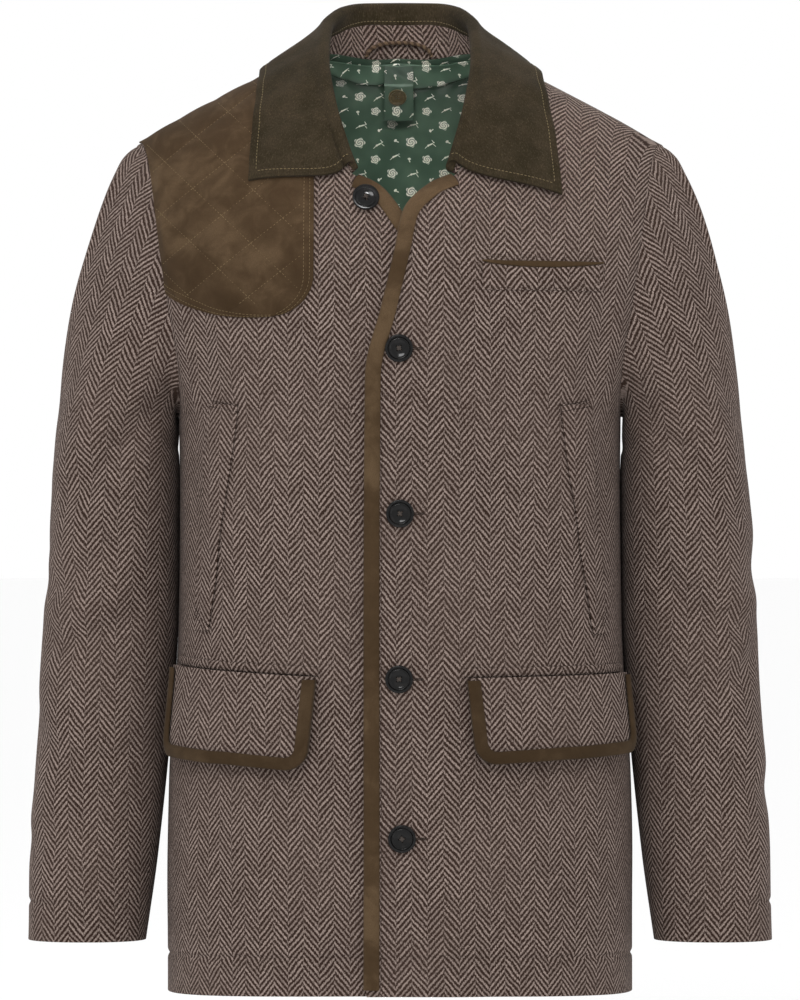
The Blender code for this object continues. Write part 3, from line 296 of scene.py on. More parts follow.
overlap = float(front_point(-1, 0.0, 0.5)[1] - front_point(1, 0.0, 0.5)[1])
print("top front lies", round(overlap, 4), "m higher")

# %% [markdown]
# ## Where the weave lies
#
# A woven pattern must keep its size on the cloth and not stretch with the mesh. So each
# point also gets its place on the flat cloth, in metres: how far it is round the body, and
# how far up. These become the UV map, and every fabric material reads it.

# %% Places on the flat cloth
FLAT_ANGLES = np.linspace(0, 90, 91)
FLAT_LEVELS = np.concatenate([np.linspace(0, 1, 21)[:-1], np.linspace(1, 2, 51)])


def flat_tables(face):
    """Way round and way up of a net of points, measured along the cloth."""
    net = body_point(face, FLAT_ANGLES[None, :], FLAT_LEVELS[:, None])
    up = np.linalg.norm(np.diff(net, axis=0), axis=2)
    up[FLAT_LEVELS[:-1] < 1] = np.diff(ring_height(FLAT_LEVELS))[FLAT_LEVELS[:-1] < 1, None]
    high = HEM + np.vstack([np.zeros(len(FLAT_ANGLES)), np.cumsum(up, axis=0)])
    along = np.linalg.norm(np.diff(net, axis=1), axis=2)
    rise = np.diff(high, axis=1)
    across = np.sqrt(np.clip(along**2 - rise**2, 0, None))
    return np.hstack([np.zeros((len(net), 1)), np.cumsum(across, axis=1)]), high


FLAT = {face: flat_tables(face) for face in (-1, 1)}


def flat_place(face, angle, level):
    """(way round, way up) on the flat cloth."""
    angle, level = np.broadcast_arrays(np.asarray(angle, float), np.asarray(level, float))
    a = np.clip(np.abs(angle), 0, 89.999)
    i = np.clip(np.searchsorted(FLAT_LEVELS, level, side="right") - 1, 0, len(FLAT_LEVELS) - 2)
    t = np.clip((level - FLAT_LEVELS[i]) / (FLAT_LEVELS[i + 1] - FLAT_LEVELS[i]), 0, 1)
    j = a.astype(int)
    s = a - j
    values = []
    for table in FLAT[face]:
        low = table[i, j] * (1 - s) + table[i, j + 1] * s
        high = table[i + 1, j] * (1 - s) + table[i + 1, j + 1] * s
        values.append(low * (1 - t) + high * t)
    return np.stack([values[0] * np.sign(angle), values[1]], -1)


GIRTH_LEVELS = np.linspace(0, 1.06, 160)
GIRTH_WAYS = np.linspace(-0.09, 0.30, 391)


def girth_rows():
    """At each level, the angle that lies a given way round the front from its middle."""
    angles = np.linspace(-30, 90, 361)
    rows = []
    for level in GIRTH_LEVELS:
        points = body_point(-1, angles, level)
        ways = np.concatenate([[0], np.cumsum(np.linalg.norm(np.diff(points, axis=0), axis=1))])
        rows.append(np.interp(GIRTH_WAYS, ways - np.interp(0, angles, ways), angles))
    return np.array(rows)


GIRTH = girth_rows()


def girth_place(across, height):
    """Angle and level of places given by the way round a front and the height."""
    across, height = np.broadcast_arrays(np.asarray(across, float), np.asarray(height, float))
    level = level_at(0.0, height)
    i = np.clip(level / (GIRTH_LEVELS[1] - GIRTH_LEVELS[0]), 0, len(GIRTH_LEVELS) - 1.001)
    j = np.clip(
        (across - GIRTH_WAYS[0]) / (GIRTH_WAYS[1] - GIRTH_WAYS[0]), 0, len(GIRTH_WAYS) - 1.001
    )
    i0, j0 = i.astype(int), j.astype(int)
    t, s = i - i0, j - j0
    low = GIRTH[i0, j0] * (1 - s) + GIRTH[i0, j0 + 1] * s
    high = GIRTH[i0 + 1, j0] * (1 - s) + GIRTH[i0 + 1, j0 + 1] * s
    return low * (1 - t) + high * t, level


half_girth = sum(float(flat_place(face, 89.9, 1.0)[0]) for face in (-1, 1))
print("half girth at the chest", round(half_girth, 3), "m")

# %% [markdown]
# ## Material helpers
#
# A material is a small web of nodes. These helpers add a node, link its inputs, and give
# the sums that a pattern needs, so that each material below reads like a recipe. Every
# number that is the same all over a surface is set on the shader's own socket.

# %% Node helpers
class Web:
    """The nodes of one material, built a line at a time."""

    def __init__(self, name):
        self.material = bpy.data.materials.new(name)
        self.material.use_nodes = True
        self.tree = self.material.node_tree
        self.shader = self.tree.nodes["Principled BSDF"]

    def add(self, kind, inputs=(), output=0, **settings):
        """One node; inputs are values or links, in the order of its sockets or by name."""
        node = self.tree.nodes.new(kind)
        for key, value in settings.items():
            setattr(node, key, value)
        for key, value in inputs.items() if isinstance(inputs, dict) else enumerate(inputs):
            self.put(node.inputs[key], value)
        return node.outputs[output]

    def put(self, socket, value):
        """Links a socket to another one, or gives it a plain value; None leaves it."""
        if isinstance(value, bpy.types.NodeSocket):
            self.tree.links.new(value, socket)
        elif value is not None:
            socket.default_value = value

    def parts(self, place):
        """The x, y and z of a place."""
        return self.add("ShaderNodeSeparateXYZ", (place,)).node.outputs

    def sum(self, operation, first, second=None, third=None, clamp=False):
        return self.add(
            "ShaderNodeMath", (first, second, third), operation=operation, use_clamp=clamp
        )

    def noise(self, where, scale, detail=2.0, rough=0.5, **more):
        inputs = {"Vector": where, "Scale": scale, "Detail": detail, "Roughness": rough, **more}
        return self.add("ShaderNodeTexNoise", inputs)

    def between(self, value, low, high, to_low=0.0, to_high=1.0):
        inputs = {0: value, 1: low, 2: high, 3: to_low, 4: to_high}
        return self.add("ShaderNodeMapRange", inputs, interpolation_type="SMOOTHSTEP")

    def mix(self, share, first, second, how="MIX"):
        inputs = {0: share, 6: first, 7: second}
        return self.add("ShaderNodeMix", inputs, output=2, data_type="RGBA", blend_type=how)

    def bump(self, height, strength, distance):
        inputs = {"Height": height, "Strength": strength, "Distance": distance}
        self.put(self.shader.inputs["Normal"], self.add("ShaderNodeBump", inputs))

    def paint(self, colour, roughness, **more):
        """The shader's own sockets; colour may be linked, the rest are plain numbers."""
        self.put(self.shader.inputs["Base Color"], colour)
        self.shader.inputs["Roughness"].default_value = roughness
        for name, value in more.items():
            self.shader.inputs[name.replace("_", " ")].default_value = value
        return self.material


def dye(red, green, blue):
    """A colour as painters give it, 0 to 255, made linear for the shader."""
    parts = [c / 255 for c in (red, green, blue)]
    return tuple(((c + 0.055) / 1.055) ** 2.4 if c > 0.04 else c / 12.92 for c in parts) + (1.0,)


print("a mid grey dye is", round(dye(128, 128, 128)[0], 3), "in linear light")

# %% [markdown]
# ## Herringbone tweed
#
# Herringbone is a twill whose diagonal turns back every centimetre or so, which makes
# columns of arrowheads. Light yarn crosses dark yarn, so a column is a row of slanting
# stripes. Here a zigzag is added to the height and the sum is read by a sine wave. Noise
# bends the lines, thins the yarn, and varies it from stripe to stripe, as handwoven wool
# does. The bump raises the light yarn, and a weak sheen stands for the loose hairs.

# %% Tweed material
COLUMN = 0.0130
RISE = 0.0056
RUN = 0.0047
TWEED_DARK = dye(45, 32, 26)
TWEED_LIGHT = dye(150, 134, 126)
TWEED_MIDDLE = dye(92, 77, 70)
SPECK_LIGHT, SPECK_DARK = dye(186, 172, 160), dye(34, 26, 22)
WOBBLE_SCALE, WOBBLE = 45.0, 0.0030
HAIRS, HAIR_REACH = {"Scale": 1000.0, "Detail": 3.0}, 0.0022
COLUMN_BREAK, FIBRE_SCALE, FIBRE_SHARE = 0.42, 950.0, 4.4
YARN_FROM, YARN_TO, DULLEST_PICK = -0.55, 1.15, 0.72


def tweed_material(name):
    web = Web(name)
    place = web.add("ShaderNodeUVMap", uv_map="cloth")
    hairs = web.add("ShaderNodeTexNoise", {"Vector": place, **HAIRS}, output=1)
    place_now = place
    for noise, reach in ((web.noise(place, WOBBLE_SCALE), WOBBLE), (hairs, HAIR_REACH)):
        moved = web.add("ShaderNodeVectorMath", (noise, (0.5, 0.5, 0.5)), operation="SUBTRACT")
        moved = web.add("ShaderNodeVectorMath", {0: moved, 3: reach}, operation="SCALE")
        place_now = web.add("ShaderNodeVectorMath", (place_now, moved), operation="ADD")
    across, up, _ = web.parts(place_now)
    zigzag = web.sum("PINGPONG", across, COLUMN)
    column = web.sum("FLOOR", web.sum("DIVIDE", across, COLUMN))
    break_step = web.sum(
        "MULTIPLY", web.sum("MODULO", web.sum("ABSOLUTE", column), 2.0), COLUMN_BREAK
    )
    phase = web.sum("ADD", web.sum("DIVIDE", up, RISE), web.sum("DIVIDE", zigzag, -RUN))
    phase = web.sum("ADD", phase, break_step)
    wave = web.sum("SINE", web.sum("MULTIPLY", phase, 2 * math.pi))
    pick = web.add("ShaderNodeCombineXYZ", (column, web.sum("FLOOR", phase), 0.0))
    pick = web.add("ShaderNodeTexWhiteNoise", {0: pick}, noise_dimensions="3D")
    floats = web.add("ShaderNodeVectorMath", (place, (1.0, 0.42, 1.0)), operation="MULTIPLY")
    fibre = web.noise(floats, FIBRE_SCALE, 3.0, 0.6)
    uneven = web.sum("MULTIPLY_ADD", fibre, FIBRE_SHARE, -FIBRE_SHARE / 2)
    yarn = web.between(web.sum("ADD", wave, uneven), YARN_FROM, YARN_TO)
    yarn = web.sum("MULTIPLY", yarn, web.between(pick, 0.0, 1.0, DULLEST_PICK, 1.0))
    colour = web.mix(yarn, TWEED_DARK, TWEED_LIGHT)
    haze = web.between(web.noise(place, 9.0, 3.0), 0.3, 0.7, 0.0, 0.14)
    colour = web.mix(haze, colour, TWEED_MIDDLE)
    speck = web.between(web.noise(place, 1500.0, 2.0, 0.6), 0.62, 0.78, 0.0, 0.35)
    colour = web.mix(speck, colour, SPECK_LIGHT)
    dark_speck = web.between(web.noise(place, 1100.0, 2.0, 0.6), 0.30, 0.16, 0.0, 0.6)
    colour = web.mix(dark_speck, colour, SPECK_DARK)
    height = web.sum("ADD", web.sum("MULTIPLY", yarn, 0.6), web.sum("MULTIPLY", fibre, 0.8))
    web.bump(height, 0.55, 0.0008)
    return web.paint(colour, 0.95, Sheen_Weight=0.03, Sheen_Roughness=0.5, Specular_IOR_Level=0.04)


tweed = tweed_material("herringbone_tweed")
print("columns", COLUMN * 1000, "mm wide, a stripe each", RISE * 1000, "mm up")

# %% [markdown]
# ## Suede, olive cloth, satin and horn
#
# Suede is leather with a brushed nap, so its colour drifts in soft clouds where the nap
# lies another way, and its gloss is nearly nil. The collar's cloth is finer and flatter.
# Satin is smooth and shows its folds as highlights. Horn is polished, nearly black, with
# faint smoky bands.

# %% Suede and collar cloth
SUEDE_DARK = dye(49, 37, 24)
SUEDE_MIDDLE = dye(64, 50, 35)
SUEDE_PALE = dye(92, 75, 56)


def suede_material(name, drift=1.0, darker=1.0):
    web = Web(name)
    place = web.add("ShaderNodeTexCoord", output=3)
    cloud = web.noise(place, 16.0, 3.0, 0.55, Distortion=0.6)
    brushed = web.noise(place, 60.0, 4.0, 0.6, Distortion=0.9)
    fine = web.noise(place, 1500.0, 3.0, 0.6)
    nap = web.sum("MULTIPLY_ADD", brushed, 0.45, cloud)
    pale = web.between(nap, 0.66, 0.92, 0.0, 0.75 * drift)
    dark = web.between(nap, 0.70, 0.48, 0.0, 0.55 * drift)
    colour = web.mix(pale, SUEDE_MIDDLE, SUEDE_PALE)
    colour = web.mix(dark, colour, SUEDE_DARK)
    colour = web.mix(web.between(fine, 0.3, 0.7, 0.0, 0.35), colour, SUEDE_DARK)
    if darker != 1.0:
        colour = web.mix(1.0, colour, (darker, darker, darker, 1.0), "MULTIPLY")
    web.bump(web.sum("ADD", fine, web.sum("MULTIPLY", brushed, 0.8)), 0.35, 0.0005)
    return web.paint(colour, 0.95, Sheen_Weight=0.05, Sheen_Roughness=0.45, Specular_IOR_Level=0.03)


def olive_material(name):
    web = Web(name)
    place = web.add("ShaderNodeTexCoord", output=3)
    cloud = web.noise(place, 26.0, 4.0, 0.65)
    turn = {"Vector": place, "Rotation": (0.0, 0.9, 0.0), "Scale": (1.0, 1.0, 0.35)}
    turned = web.add("ShaderNodeMapping", turn)
    grain = web.noise(turned, 1000.0, 3.0, 0.7)
    colour = web.mix(web.between(cloud, 0.32, 0.68), dye(39, 33, 22), dye(54, 46, 34))
    colour = web.mix(web.between(grain, 0.50, 0.30, 0.0, 0.60), colour, dye(30, 25, 16))
    colour = web.mix(web.between(grain, 0.52, 0.74, 0.0, 0.50), colour, dye(86, 76, 58))
    web.bump(grain, 0.5, 0.0005)
    return web.paint(colour, 0.92, Sheen_Weight=0.03, Sheen_Roughness=0.5, Specular_IOR_Level=0.04)


suede = suede_material("brown_suede")
binding_suede = suede_material("suede_binding", drift=0.9, darker=1.16)
flap_suede = suede_material("suede_flap_binding", drift=0.6, darker=0.86)
olive = olive_material("olive_collar_cloth")
print("materials so far:", [m.name for m in (tweed, suede, binding_suede, flap_suede, olive)])

# %% [markdown]
# ## Lining satin with a small print
#
# The lining is dark green satin, printed in cream with little roses, leaping hares and
# buds. Such a print repeats, so it is drawn once in a square tile from soft ovals, and the
# tile is laid over the cloth by taking the remainder of the place. The motifs stand in a
# layout of their own.

# %% Oval shapes for a print
TILE = 0.046


def oval(web, x, y, middle, size, turn=0.0):
    """1 inside an oval of the tile, 0 outside: its middle, its half axes and its turn."""
    c, s = math.cos(math.radians(turn)), math.sin(math.radians(turn))
    dx = web.sum("SUBTRACT", x, middle[0])
    dy = web.sum("SUBTRACT", y, middle[1])
    along = web.sum("MULTIPLY_ADD", dx, c / size[0], web.sum("MULTIPLY", dy, s / size[0]))
    beside = web.sum("MULTIPLY_ADD", dx, -s / size[1], web.sum("MULTIPLY", dy, c / size[1]))
    far = web.sum("MULTIPLY_ADD", along, along, web.sum("MULTIPLY", beside, beside))
    return web.between(far, 1.25, 0.75)


def rose(web, x, y, middle, size):
    """Ring of petals with a dark gap round a small heart."""
    dx = web.sum("SUBTRACT", x, middle[0])
    dy = web.sum("SUBTRACT", y, middle[1])
    squares = web.sum("MULTIPLY_ADD", dx, dx, web.sum("MULTIPLY", dy, dy))
    far = web.sum("DIVIDE", web.sum("SQRT", squares), size)
    turn = web.sum("ARCTAN2", dy, dx)
    lobes = web.sum("MULTIPLY", web.sum("COSINE", web.sum("MULTIPLY", turn, 5.0)), 0.13)
    outline = web.between(web.sum("SUBTRACT", far, lobes), 1.0, 0.88)
    rings = web.sum("SINE", web.sum("MULTIPLY_ADD", far, 15.0, web.sum("MULTIPLY", turn, 2.0)))
    return web.sum("MULTIPLY", outline, web.between(rings, -0.5, 0.1, 0.25, 1.0))


Oval = namedtuple("Oval", "name x y long short turn")
HARE = (
    Oval("body", 0.0, 0.0, 2.2, 0.55, 22),
    Oval("haunch", -1.5, -0.6, 0.9, 0.70, 40),
    Oval("head", 2.6, 1.4, 0.65, 0.42, 10),
    Oval("ear", 2.0, 2.5, 1.1, 0.26, 122),
    Oval("fore leg", 2.9, -0.7, 1.5, 0.24, -48),
    Oval("hind leg", -3.0, -1.7, 1.5, 0.26, 40),
)
BUD = (
    Oval("bud", 0.0, 0.3, 1.0, 0.75, 35),
    Oval("leaf", 1.1, -0.7, 0.9, 0.35, -30),
)
Motif = namedtuple("Motif", "kind x y size turn")
PRINT = (
    Motif("rose", 10.0, 11.0, 4.9, 0),
    Motif("hare", 27.0, 9.0, 1.25, 6),
    Motif("bud", 42.0, 12.0, 1.5, 10),
    Motif("hare", 12.0, 27.5, 1.25, -8),
    Motif("bud", 27.5, 22.0, 1.4, 70),
    Motif("rose", 39.0, 28.0, 4.6, 0),
    Motif("bud", 8.0, 41.0, 1.4, -40),
    Motif("hare", 42.0, 44.0, 1.25, 4),
    Motif("rose", 24.0, 41.0, 4.2, 0),
)


def tile_print(web, place):
    """Cream where the print is, from 0 to 1."""
    x, y = (
        web.sum("MULTIPLY", web.sum("FLOORED_MODULO", part, TILE), 1000.0)
        for part in web.parts(place)[:2]
    )
    shown = 0.0
    for motif in PRINT:
        if motif.kind == "rose":
            shown = web.sum("MAXIMUM", rose(web, x, y, (motif.x, motif.y), motif.size), shown)
            continue
        c, s = math.cos(math.radians(motif.turn)), math.sin(math.radians(motif.turn))
        for part in HARE if motif.kind == "hare" else BUD:
            middle = (
                motif.x + motif.size * (part.x * c - part.y * s),
                motif.y + motif.size * (part.x * s + part.y * c),
            )
            size = (part.long * motif.size, max(part.short * motif.size, 0.30))
            shown = web.sum("MAXIMUM", oval(web, x, y, middle, size, part.turn + motif.turn), shown)
    return shown


# %% Satin material
def satin_material(name):
    web = Web(name)
    place = web.add("ShaderNodeUVMap", uv_map="cloth")
    thread = web.noise(place, 2200.0, 1.0)
    clouds = web.between(web.noise(place, 30.0, 2.0), 0.3, 0.7)
    ground = web.mix(clouds, dye(70, 92, 76), dye(88, 110, 92))
    worn = web.between(web.noise(place, 1400.0, 2.0, 0.7), 0.28, 0.5, 0.55, 1.0)
    shown = web.sum("MULTIPLY", tile_print(web, place), worn)
    colour = web.mix(shown, ground, dye(250, 248, 232))
    web.bump(thread, 0.12, 0.0002)
    return web.paint(colour, 0.27, Specular_IOR_Level=0.75)


satin = satin_material("printed_lining_satin")
print("print:", len(PRINT), "motifs in a tile of", TILE * 1000, "mm")

# %% [markdown]
# ## Making a cloth wall
#
# Real cloth has two faces and an edge. A grid of points gives the outer face, the same
# grid moved in by the cloth's thickness gives the inner one, and quads close the rim. The
# outer face has the cloth's finish and the inner face its lining. A small bevel rounds the
# rim, because no cloth edge is sharp.

# %% Wall of cloth
def grid_faces(rows, columns, ring):
    """Quads of a grid as an array of corners, and the columns that they lie between."""
    across = np.arange(columns if ring else columns - 1)
    r, c = np.meshgrid(np.arange(rows - 1), across, indexing="ij")
    start, c2 = r * columns, (c + 1) % columns
    corners = np.stack([start + c, start + c2, start + columns + c2, start + columns + c], -1)
    return corners.reshape(-1, 4), r.ravel(), c.ravel()


def cloth_wall(
    name, outer, inner, places, finishes, slot, ring=False, rim_round=0.0007, replaces=()
):
    """A closed wall between two grids. places is the UV of each column, one more for a ring."""
    rows, columns = outer.shape[:2]
    points = np.concatenate([outer.reshape(-1, 3), inner.reshape(-1, 3)])
    quads, r, c = grid_faces(rows, columns, ring)
    flat = np.stack([places[r, c], places[r, c + 1], places[r + 1, c + 1], places[r + 1, c]], 1)
    back = rows * columns
    faces = [quads, quads[:, ::-1] + back]
    spots = [flat, flat[:, ::-1]]
    looks = [np.zeros(len(quads), int), np.ones(len(quads), int)]

    def close(a, b, at_a, at_b):
        faces.append(np.stack([b, a, a + back, b + back], 1))
        spots.append(np.stack([at_b, at_a, at_a, at_b], 1))
        looks.append(np.zeros(len(a), int))

    line = np.arange(columns if ring else columns - 1)
    line_next = (line + 1) % columns
    close(line, line_next, places[0, line], places[0, line + 1])
    top = (rows - 1) * columns
    close(top + line_next, top + line, places[-1, line + 1], places[-1, line])
    if not ring:
        side = np.arange(rows - 1) * columns
        close(side + columns, side, places[1:, 0], places[:-1, 0])
        last = side + columns - 1
        close(last, last + columns, places[:-1, -1], places[1:, -1])
    faces, spots, looks = np.concatenate(faces), np.concatenate(spots), np.concatenate(looks)
    corner = points[faces]
    facing = np.cross(corner[:, 1] - corner[:, 0], corner[:, 2] - corner[:, 0])
    if np.einsum("ni,ni->n", corner[:, 0], facing).sum() < 0:
        faces, spots = faces[:, ::-1], spots[:, ::-1]
    mesh = bpy.data.meshes.new(name)
    mesh.from_pydata(points.tolist(), [], faces.tolist())
    layer = mesh.uv_layers.new(name="cloth")
    layer.data.foreach_set("uv", np.ascontiguousarray(spots, dtype=np.float32).ravel())
    mesh.polygons.foreach_set("material_index", looks.astype(np.int32))
    mesh.polygons.foreach_set("use_smooth", np.ones(len(faces), bool))
    for finish in finishes:
        mesh.materials.append(finish)
    if len(finishes) == 1:
        mesh.polygons.foreach_set("material_index", np.zeros(len(faces), np.int32))
    piece = bpy.data.objects.new(name, mesh)
    bpy.context.scene.collection.objects.link(piece)
    if rim_round:
        bevel = piece.modifiers.new("rim", "BEVEL")
        bevel.width, bevel.segments, bevel.limit_method = rim_round, 2, "ANGLE"
        bevel.angle_limit = math.radians(50)
        apply_modifiers(piece)
    finish_piece(piece, replaces)
    return piece


def apply_modifiers(piece):
    """Makes a piece's modifiers part of its mesh."""
    bpy.ops.object.select_all(action="DESELECT")
    piece.select_set(True)
    bpy.context.view_layer.objects.active = piece
    for modifier in list(piece.modifiers):
        bpy.ops.object.modifier_apply(modifier=modifier.name)


def finish_piece(piece, replaces=()):
    """A finished piece rides on the body and stands for its solid."""
    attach(piece, "root")
    if replaces:
        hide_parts(*replaces)
    return piece


def outward_piece(mesh, look, replaces=()):
    """A piece from a closed mesh: smooth, with its faces turned outward and one finish."""
    mesh.polygons.foreach_set("use_smooth", np.ones(len(mesh.polygons), bool))
    mesh.materials.append(look)
    made = bmesh.new()
    made.from_mesh(mesh)
    bmesh.ops.recalc_face_normals(made, faces=made.faces[:])
    made.to_mesh(mesh)
    made.free()
    piece = bpy.data.objects.new(mesh.name, mesh)
    bpy.context.scene.collection.objects.link(piece)
    return finish_piece(piece, replaces)


LEAST_WIDTH, LEAST_FILL, CUT_ROOM = 0.0105, 0.45, 1.03


def declare_sheet(piece, width, length):
    """Says how large the flat cloth was that a piece is cut from."""
    area = sum(polygon.area for polygon in piece.data.polygons) / 2
    width = max(LEAST_WIDTH, min(width, area / (LEAST_FILL * length)))
    room = max(CUT_ROOM, area / (width * length))
    width, length = width * math.sqrt(room), length * math.sqrt(room)
    print(f"{piece.name}: {area:.4f} m2 of cloth from {width:.3f} x {length:.3f} m")


def grid_normals(grid, ring=False):
    """The way off a grid at each of its points."""
    wide = np.concatenate([grid[:, -1:], grid, grid[:, :1]], 1) if ring else grid
    along = np.gradient(grid, axis=0)
    across = np.gradient(wide, axis=1)
    if ring:
        across = across[:, 1:-1]
    return unit(np.cross(across, along))


# %% [markdown]
# ## Fronts and back
#
# The two fronts and the back are cut from one tweed. Each is a grid between its edges: the
# front edge or the middle, and the side seam with the armhole over it. The weave stays
# upright. Cloth that is worn is never quite smooth, so each panel also gets a few long,
# shallow dents, all of another length and depth, and dips a little into its seams.

# %% Edges of the panels
SHOULDER_ANGLE = 68.0
Armhole = namedtuple("Armhole", "name level front_angle back_angle")
ARMHOLE = (
    Armhole("armpit", ARMPIT_LEVEL, 90.0, 90.0),
    Armhole("under the arm", 0.955, 77.0, 77.0),
    Armhole("lower", 1.000, 68.0, 67.0),
    Armhole("chest", 1.130, 62.0, 61.0),
    Armhole("middle", 1.300, 60.5, 58.5),
    Armhole("upper", 1.600, 61.5, 58.5),
    Armhole("below the shoulder", 1.850, 64.5, 62.0),
    Armhole("shoulder point", 2.000, SHOULDER_ANGLE, SHOULDER_ANGLE),
)
COLLAR_END_LEVEL = 1.392
Edge = namedtuple("Edge", "name level top_front under_front")
FRONT_EDGE = (
    Edge("hem", 0.00, -0.0272, -0.0270),
    Edge("waist", 0.60, -0.0272, -0.0270),
    Edge("first button", 1.00, -0.0262, -0.0262),
    Edge("over the button", 1.12, -0.0130, -0.0262),
    Edge("under the opening", 1.22, -0.0020, -0.0190),
    Edge("foot of the opening", 1.285, 0.0042, -0.0025),
    Edge("opening", 1.345, 0.0240, 0.0160),
    Edge("collar end", 1.400, 0.0490, 0.0430),
    Edge("side of the neck", 1.620, 0.0690, 0.0690),
    Edge("shoulder", 2.00, NECK_HALF, NECK_HALF),
)
armhole_reader = {
    -1: reader(ARMHOLE, "level", "front_angle"),
    1: reader(ARMHOLE, "level", "back_angle"),
}
edge_reader = {
    1: reader(FRONT_EDGE, "level", "top_front"),
    -1: reader(FRONT_EDGE, "level", "under_front"),
}


def armhole_angle(face, level):
    """Angle of a panel's outer edge."""
    level = np.asarray(level, float)
    return np.where(level <= ARMPIT_LEVEL, 90.0, armhole_reader[face](level))


def edge_angle(side, level):
    """Angle of a front's inner edge."""
    return angle_at(edge_reader[side](np.asarray(level, float)), level)


def spread_levels(parts):
    """Levels of rows, from (rows, level at their end) parts."""
    levels = [0.0]
    for count, end in parts:
        levels += list(np.linspace(levels[-1], end, count + 1)[1:])
    return np.array(levels)


BACK_NECK_LEVEL, BACK_NECK_CURVE, BACK_SQUEEZE_LEVEL = 1.738, 2.6, 1.2
NECK_SHARE = float(angle_at(NECK_HALF, 2.0)) / SHOULDER_ANGLE


def neckline_level(share):
    """The highest level of the back at a column."""
    inward = np.minimum(1.0, np.abs(share) / NECK_SHARE)
    return BACK_NECK_LEVEL + (2 - BACK_NECK_LEVEL) * inward**BACK_NECK_CURVE


ROWS_BELOW, ROWS_ABOVE = 11, 13
eased = np.arange(ROWS_ABOVE + 1) / ROWS_ABOVE
eased = 0.75 * (1 - np.cos(np.pi * eased)) / 2 + 0.25 * eased
SIDE_LEVELS = np.concatenate([
    ARMPIT_LEVEL * np.arange(ROWS_BELOW) / ROWS_BELOW,
    ARMPIT_LEVEL + (2 - ARMPIT_LEVEL) * eased,
])
EDGE_LEVELS = spread_levels(((11, 1.02), (7, COLLAR_END_LEVEL), (6, 2.0)))
print("rows:", len(SIDE_LEVELS), "at the side and", len(EDGE_LEVELS), "at the edge")


# %% Soft creases
Crease = namedtuple("Crease", "name side u v length width turn depth")
# u is the way round from the middle to the wearer's own side, v the height; turn 0 lies across
FRONT_CREASES = (
    Crease("left, from the armhole down", 1, 0.176, -0.235, 0.110, 0.016, 72, 0.0026),
    Crease("left, beside the pocket", 1, 0.196, -0.330, 0.150, 0.018, 84, 0.0022),
    Crease("left, over the flap", 1, 0.120, -0.470, 0.120, 0.020, 4, 0.0014),
    Crease("left, below the flap", 1, 0.150, -0.640, 0.130, 0.022, 80, 0.0016),
    Crease("left, chest", 1, 0.080, -0.215, 0.110, 0.024, -28, 0.0014),
    Crease("left, hem", 1, 0.090, -0.700, 0.100, 0.026, 86, 0.0012),
    Crease("right, from the armhole down", -1, 0.172, -0.245, 0.120, 0.017, 74, 0.0026),
    Crease("right, beside the pocket", -1, 0.200, -0.345, 0.140, 0.018, 82, 0.0021),
    Crease("right, waist", -1, 0.110, -0.430, 0.130, 0.024, -8, 0.0015),
    Crease("right, below the flap", -1, 0.165, -0.650, 0.120, 0.020, 78, 0.0017),
    Crease("right, chest", -1, 0.070, -0.265, 0.100, 0.022, 24, 0.0013),
    Crease("right, hem", -1, 0.070, -0.690, 0.110, 0.028, 88, 0.0012),
)
BACK_CREASES = (
    Crease("across the shoulders, left", 1, 0.085, -0.130, 0.130, 0.022, -16, 0.0018),
    Crease("across the shoulders, right", -1, 0.080, -0.145, 0.120, 0.020, -22, 0.0020),
    Crease("left armhole", 1, 0.160, -0.225, 0.120, 0.016, 70, 0.0026),
    Crease("right armhole", -1, 0.158, -0.240, 0.110, 0.017, 72, 0.0024),
    Crease("waist, left", 1, 0.090, -0.440, 0.140, 0.022, 8, 0.0017),
    Crease("waist, right", -1, 0.110, -0.465, 0.120, 0.024, -6, 0.0015),
    Crease("left side", 1, 0.190, -0.560, 0.150, 0.020, 84, 0.0018),
    Crease("right side", -1, 0.185, -0.600, 0.130, 0.022, 82, 0.0016),
)


CREASE_BOW, LIP_HEIGHT, LIP_AT, LIP_WIDTH = 0.12, 0.35, 1.7, 1.1


def crease_sum(creases, side, u, v):
    """How deep the creases are at places on the flat cloth; below 0 is a dent."""
    total = np.zeros(np.broadcast(u, v).shape)
    for crease in creases:
        c, s = math.cos(math.radians(crease.turn)), math.sin(math.radians(crease.turn))
        du, dv = u - crease.u, v - crease.v
        along = (du * c + dv * s) / (crease.length / 2)
        bow = CREASE_BOW * crease.length * along * along
        across = (-du * s + dv * c - bow) / crease.width
        dent = np.exp(-across * across) - LIP_HEIGHT * np.exp(
            -(((across - LIP_AT) / LIP_WIDTH) ** 2)
        )
        total = total - crease.depth * dent * np.exp(-(along**4)) * (side == crease.side)
    return total


Wave = namedtuple("Wave", "size height")
WAVES = (Wave(0.21, 0.5), Wave(0.13, 0.3), Wave(0.083, 0.2))


def soft_waves(u, v, seed):
    """Slow unevenness of worn cloth, to be scaled to under a millimetre."""
    total = 0.0
    for i, (size, height) in enumerate(WAVES):
        turn = 0.7 + 1.9 * i + seed
        c, s = math.cos(turn), math.sin(turn)
        total = total + height * np.sin(2 * np.pi * (u * c + v * s) / size + 2.3 * seed + i)
        total = total + height * np.sin(2 * np.pi * (u * s - v * c) / (size * 1.3) + seed)
    return total


PANEL_WAVE, CALM_BY_SEAM, CALM_BY_NECK, CALM_BY_SHOULDER = 0.00042, 0.03, 0.2, 0.25
EDGE_LEAST, EDGE_FLAT, EDGE_CALM = -0.004, 0.014, 0.035
SEAM_DIP, SEAM_REACH, DIP_LEVEL, DIP_FADE = 0.0016, 0.008, 0.01, 0.04
HEM_FOLD, HEM_FOLD_REACH, HEM_FOLD_DEPTH = 0.032, 0.0024, 0.0016


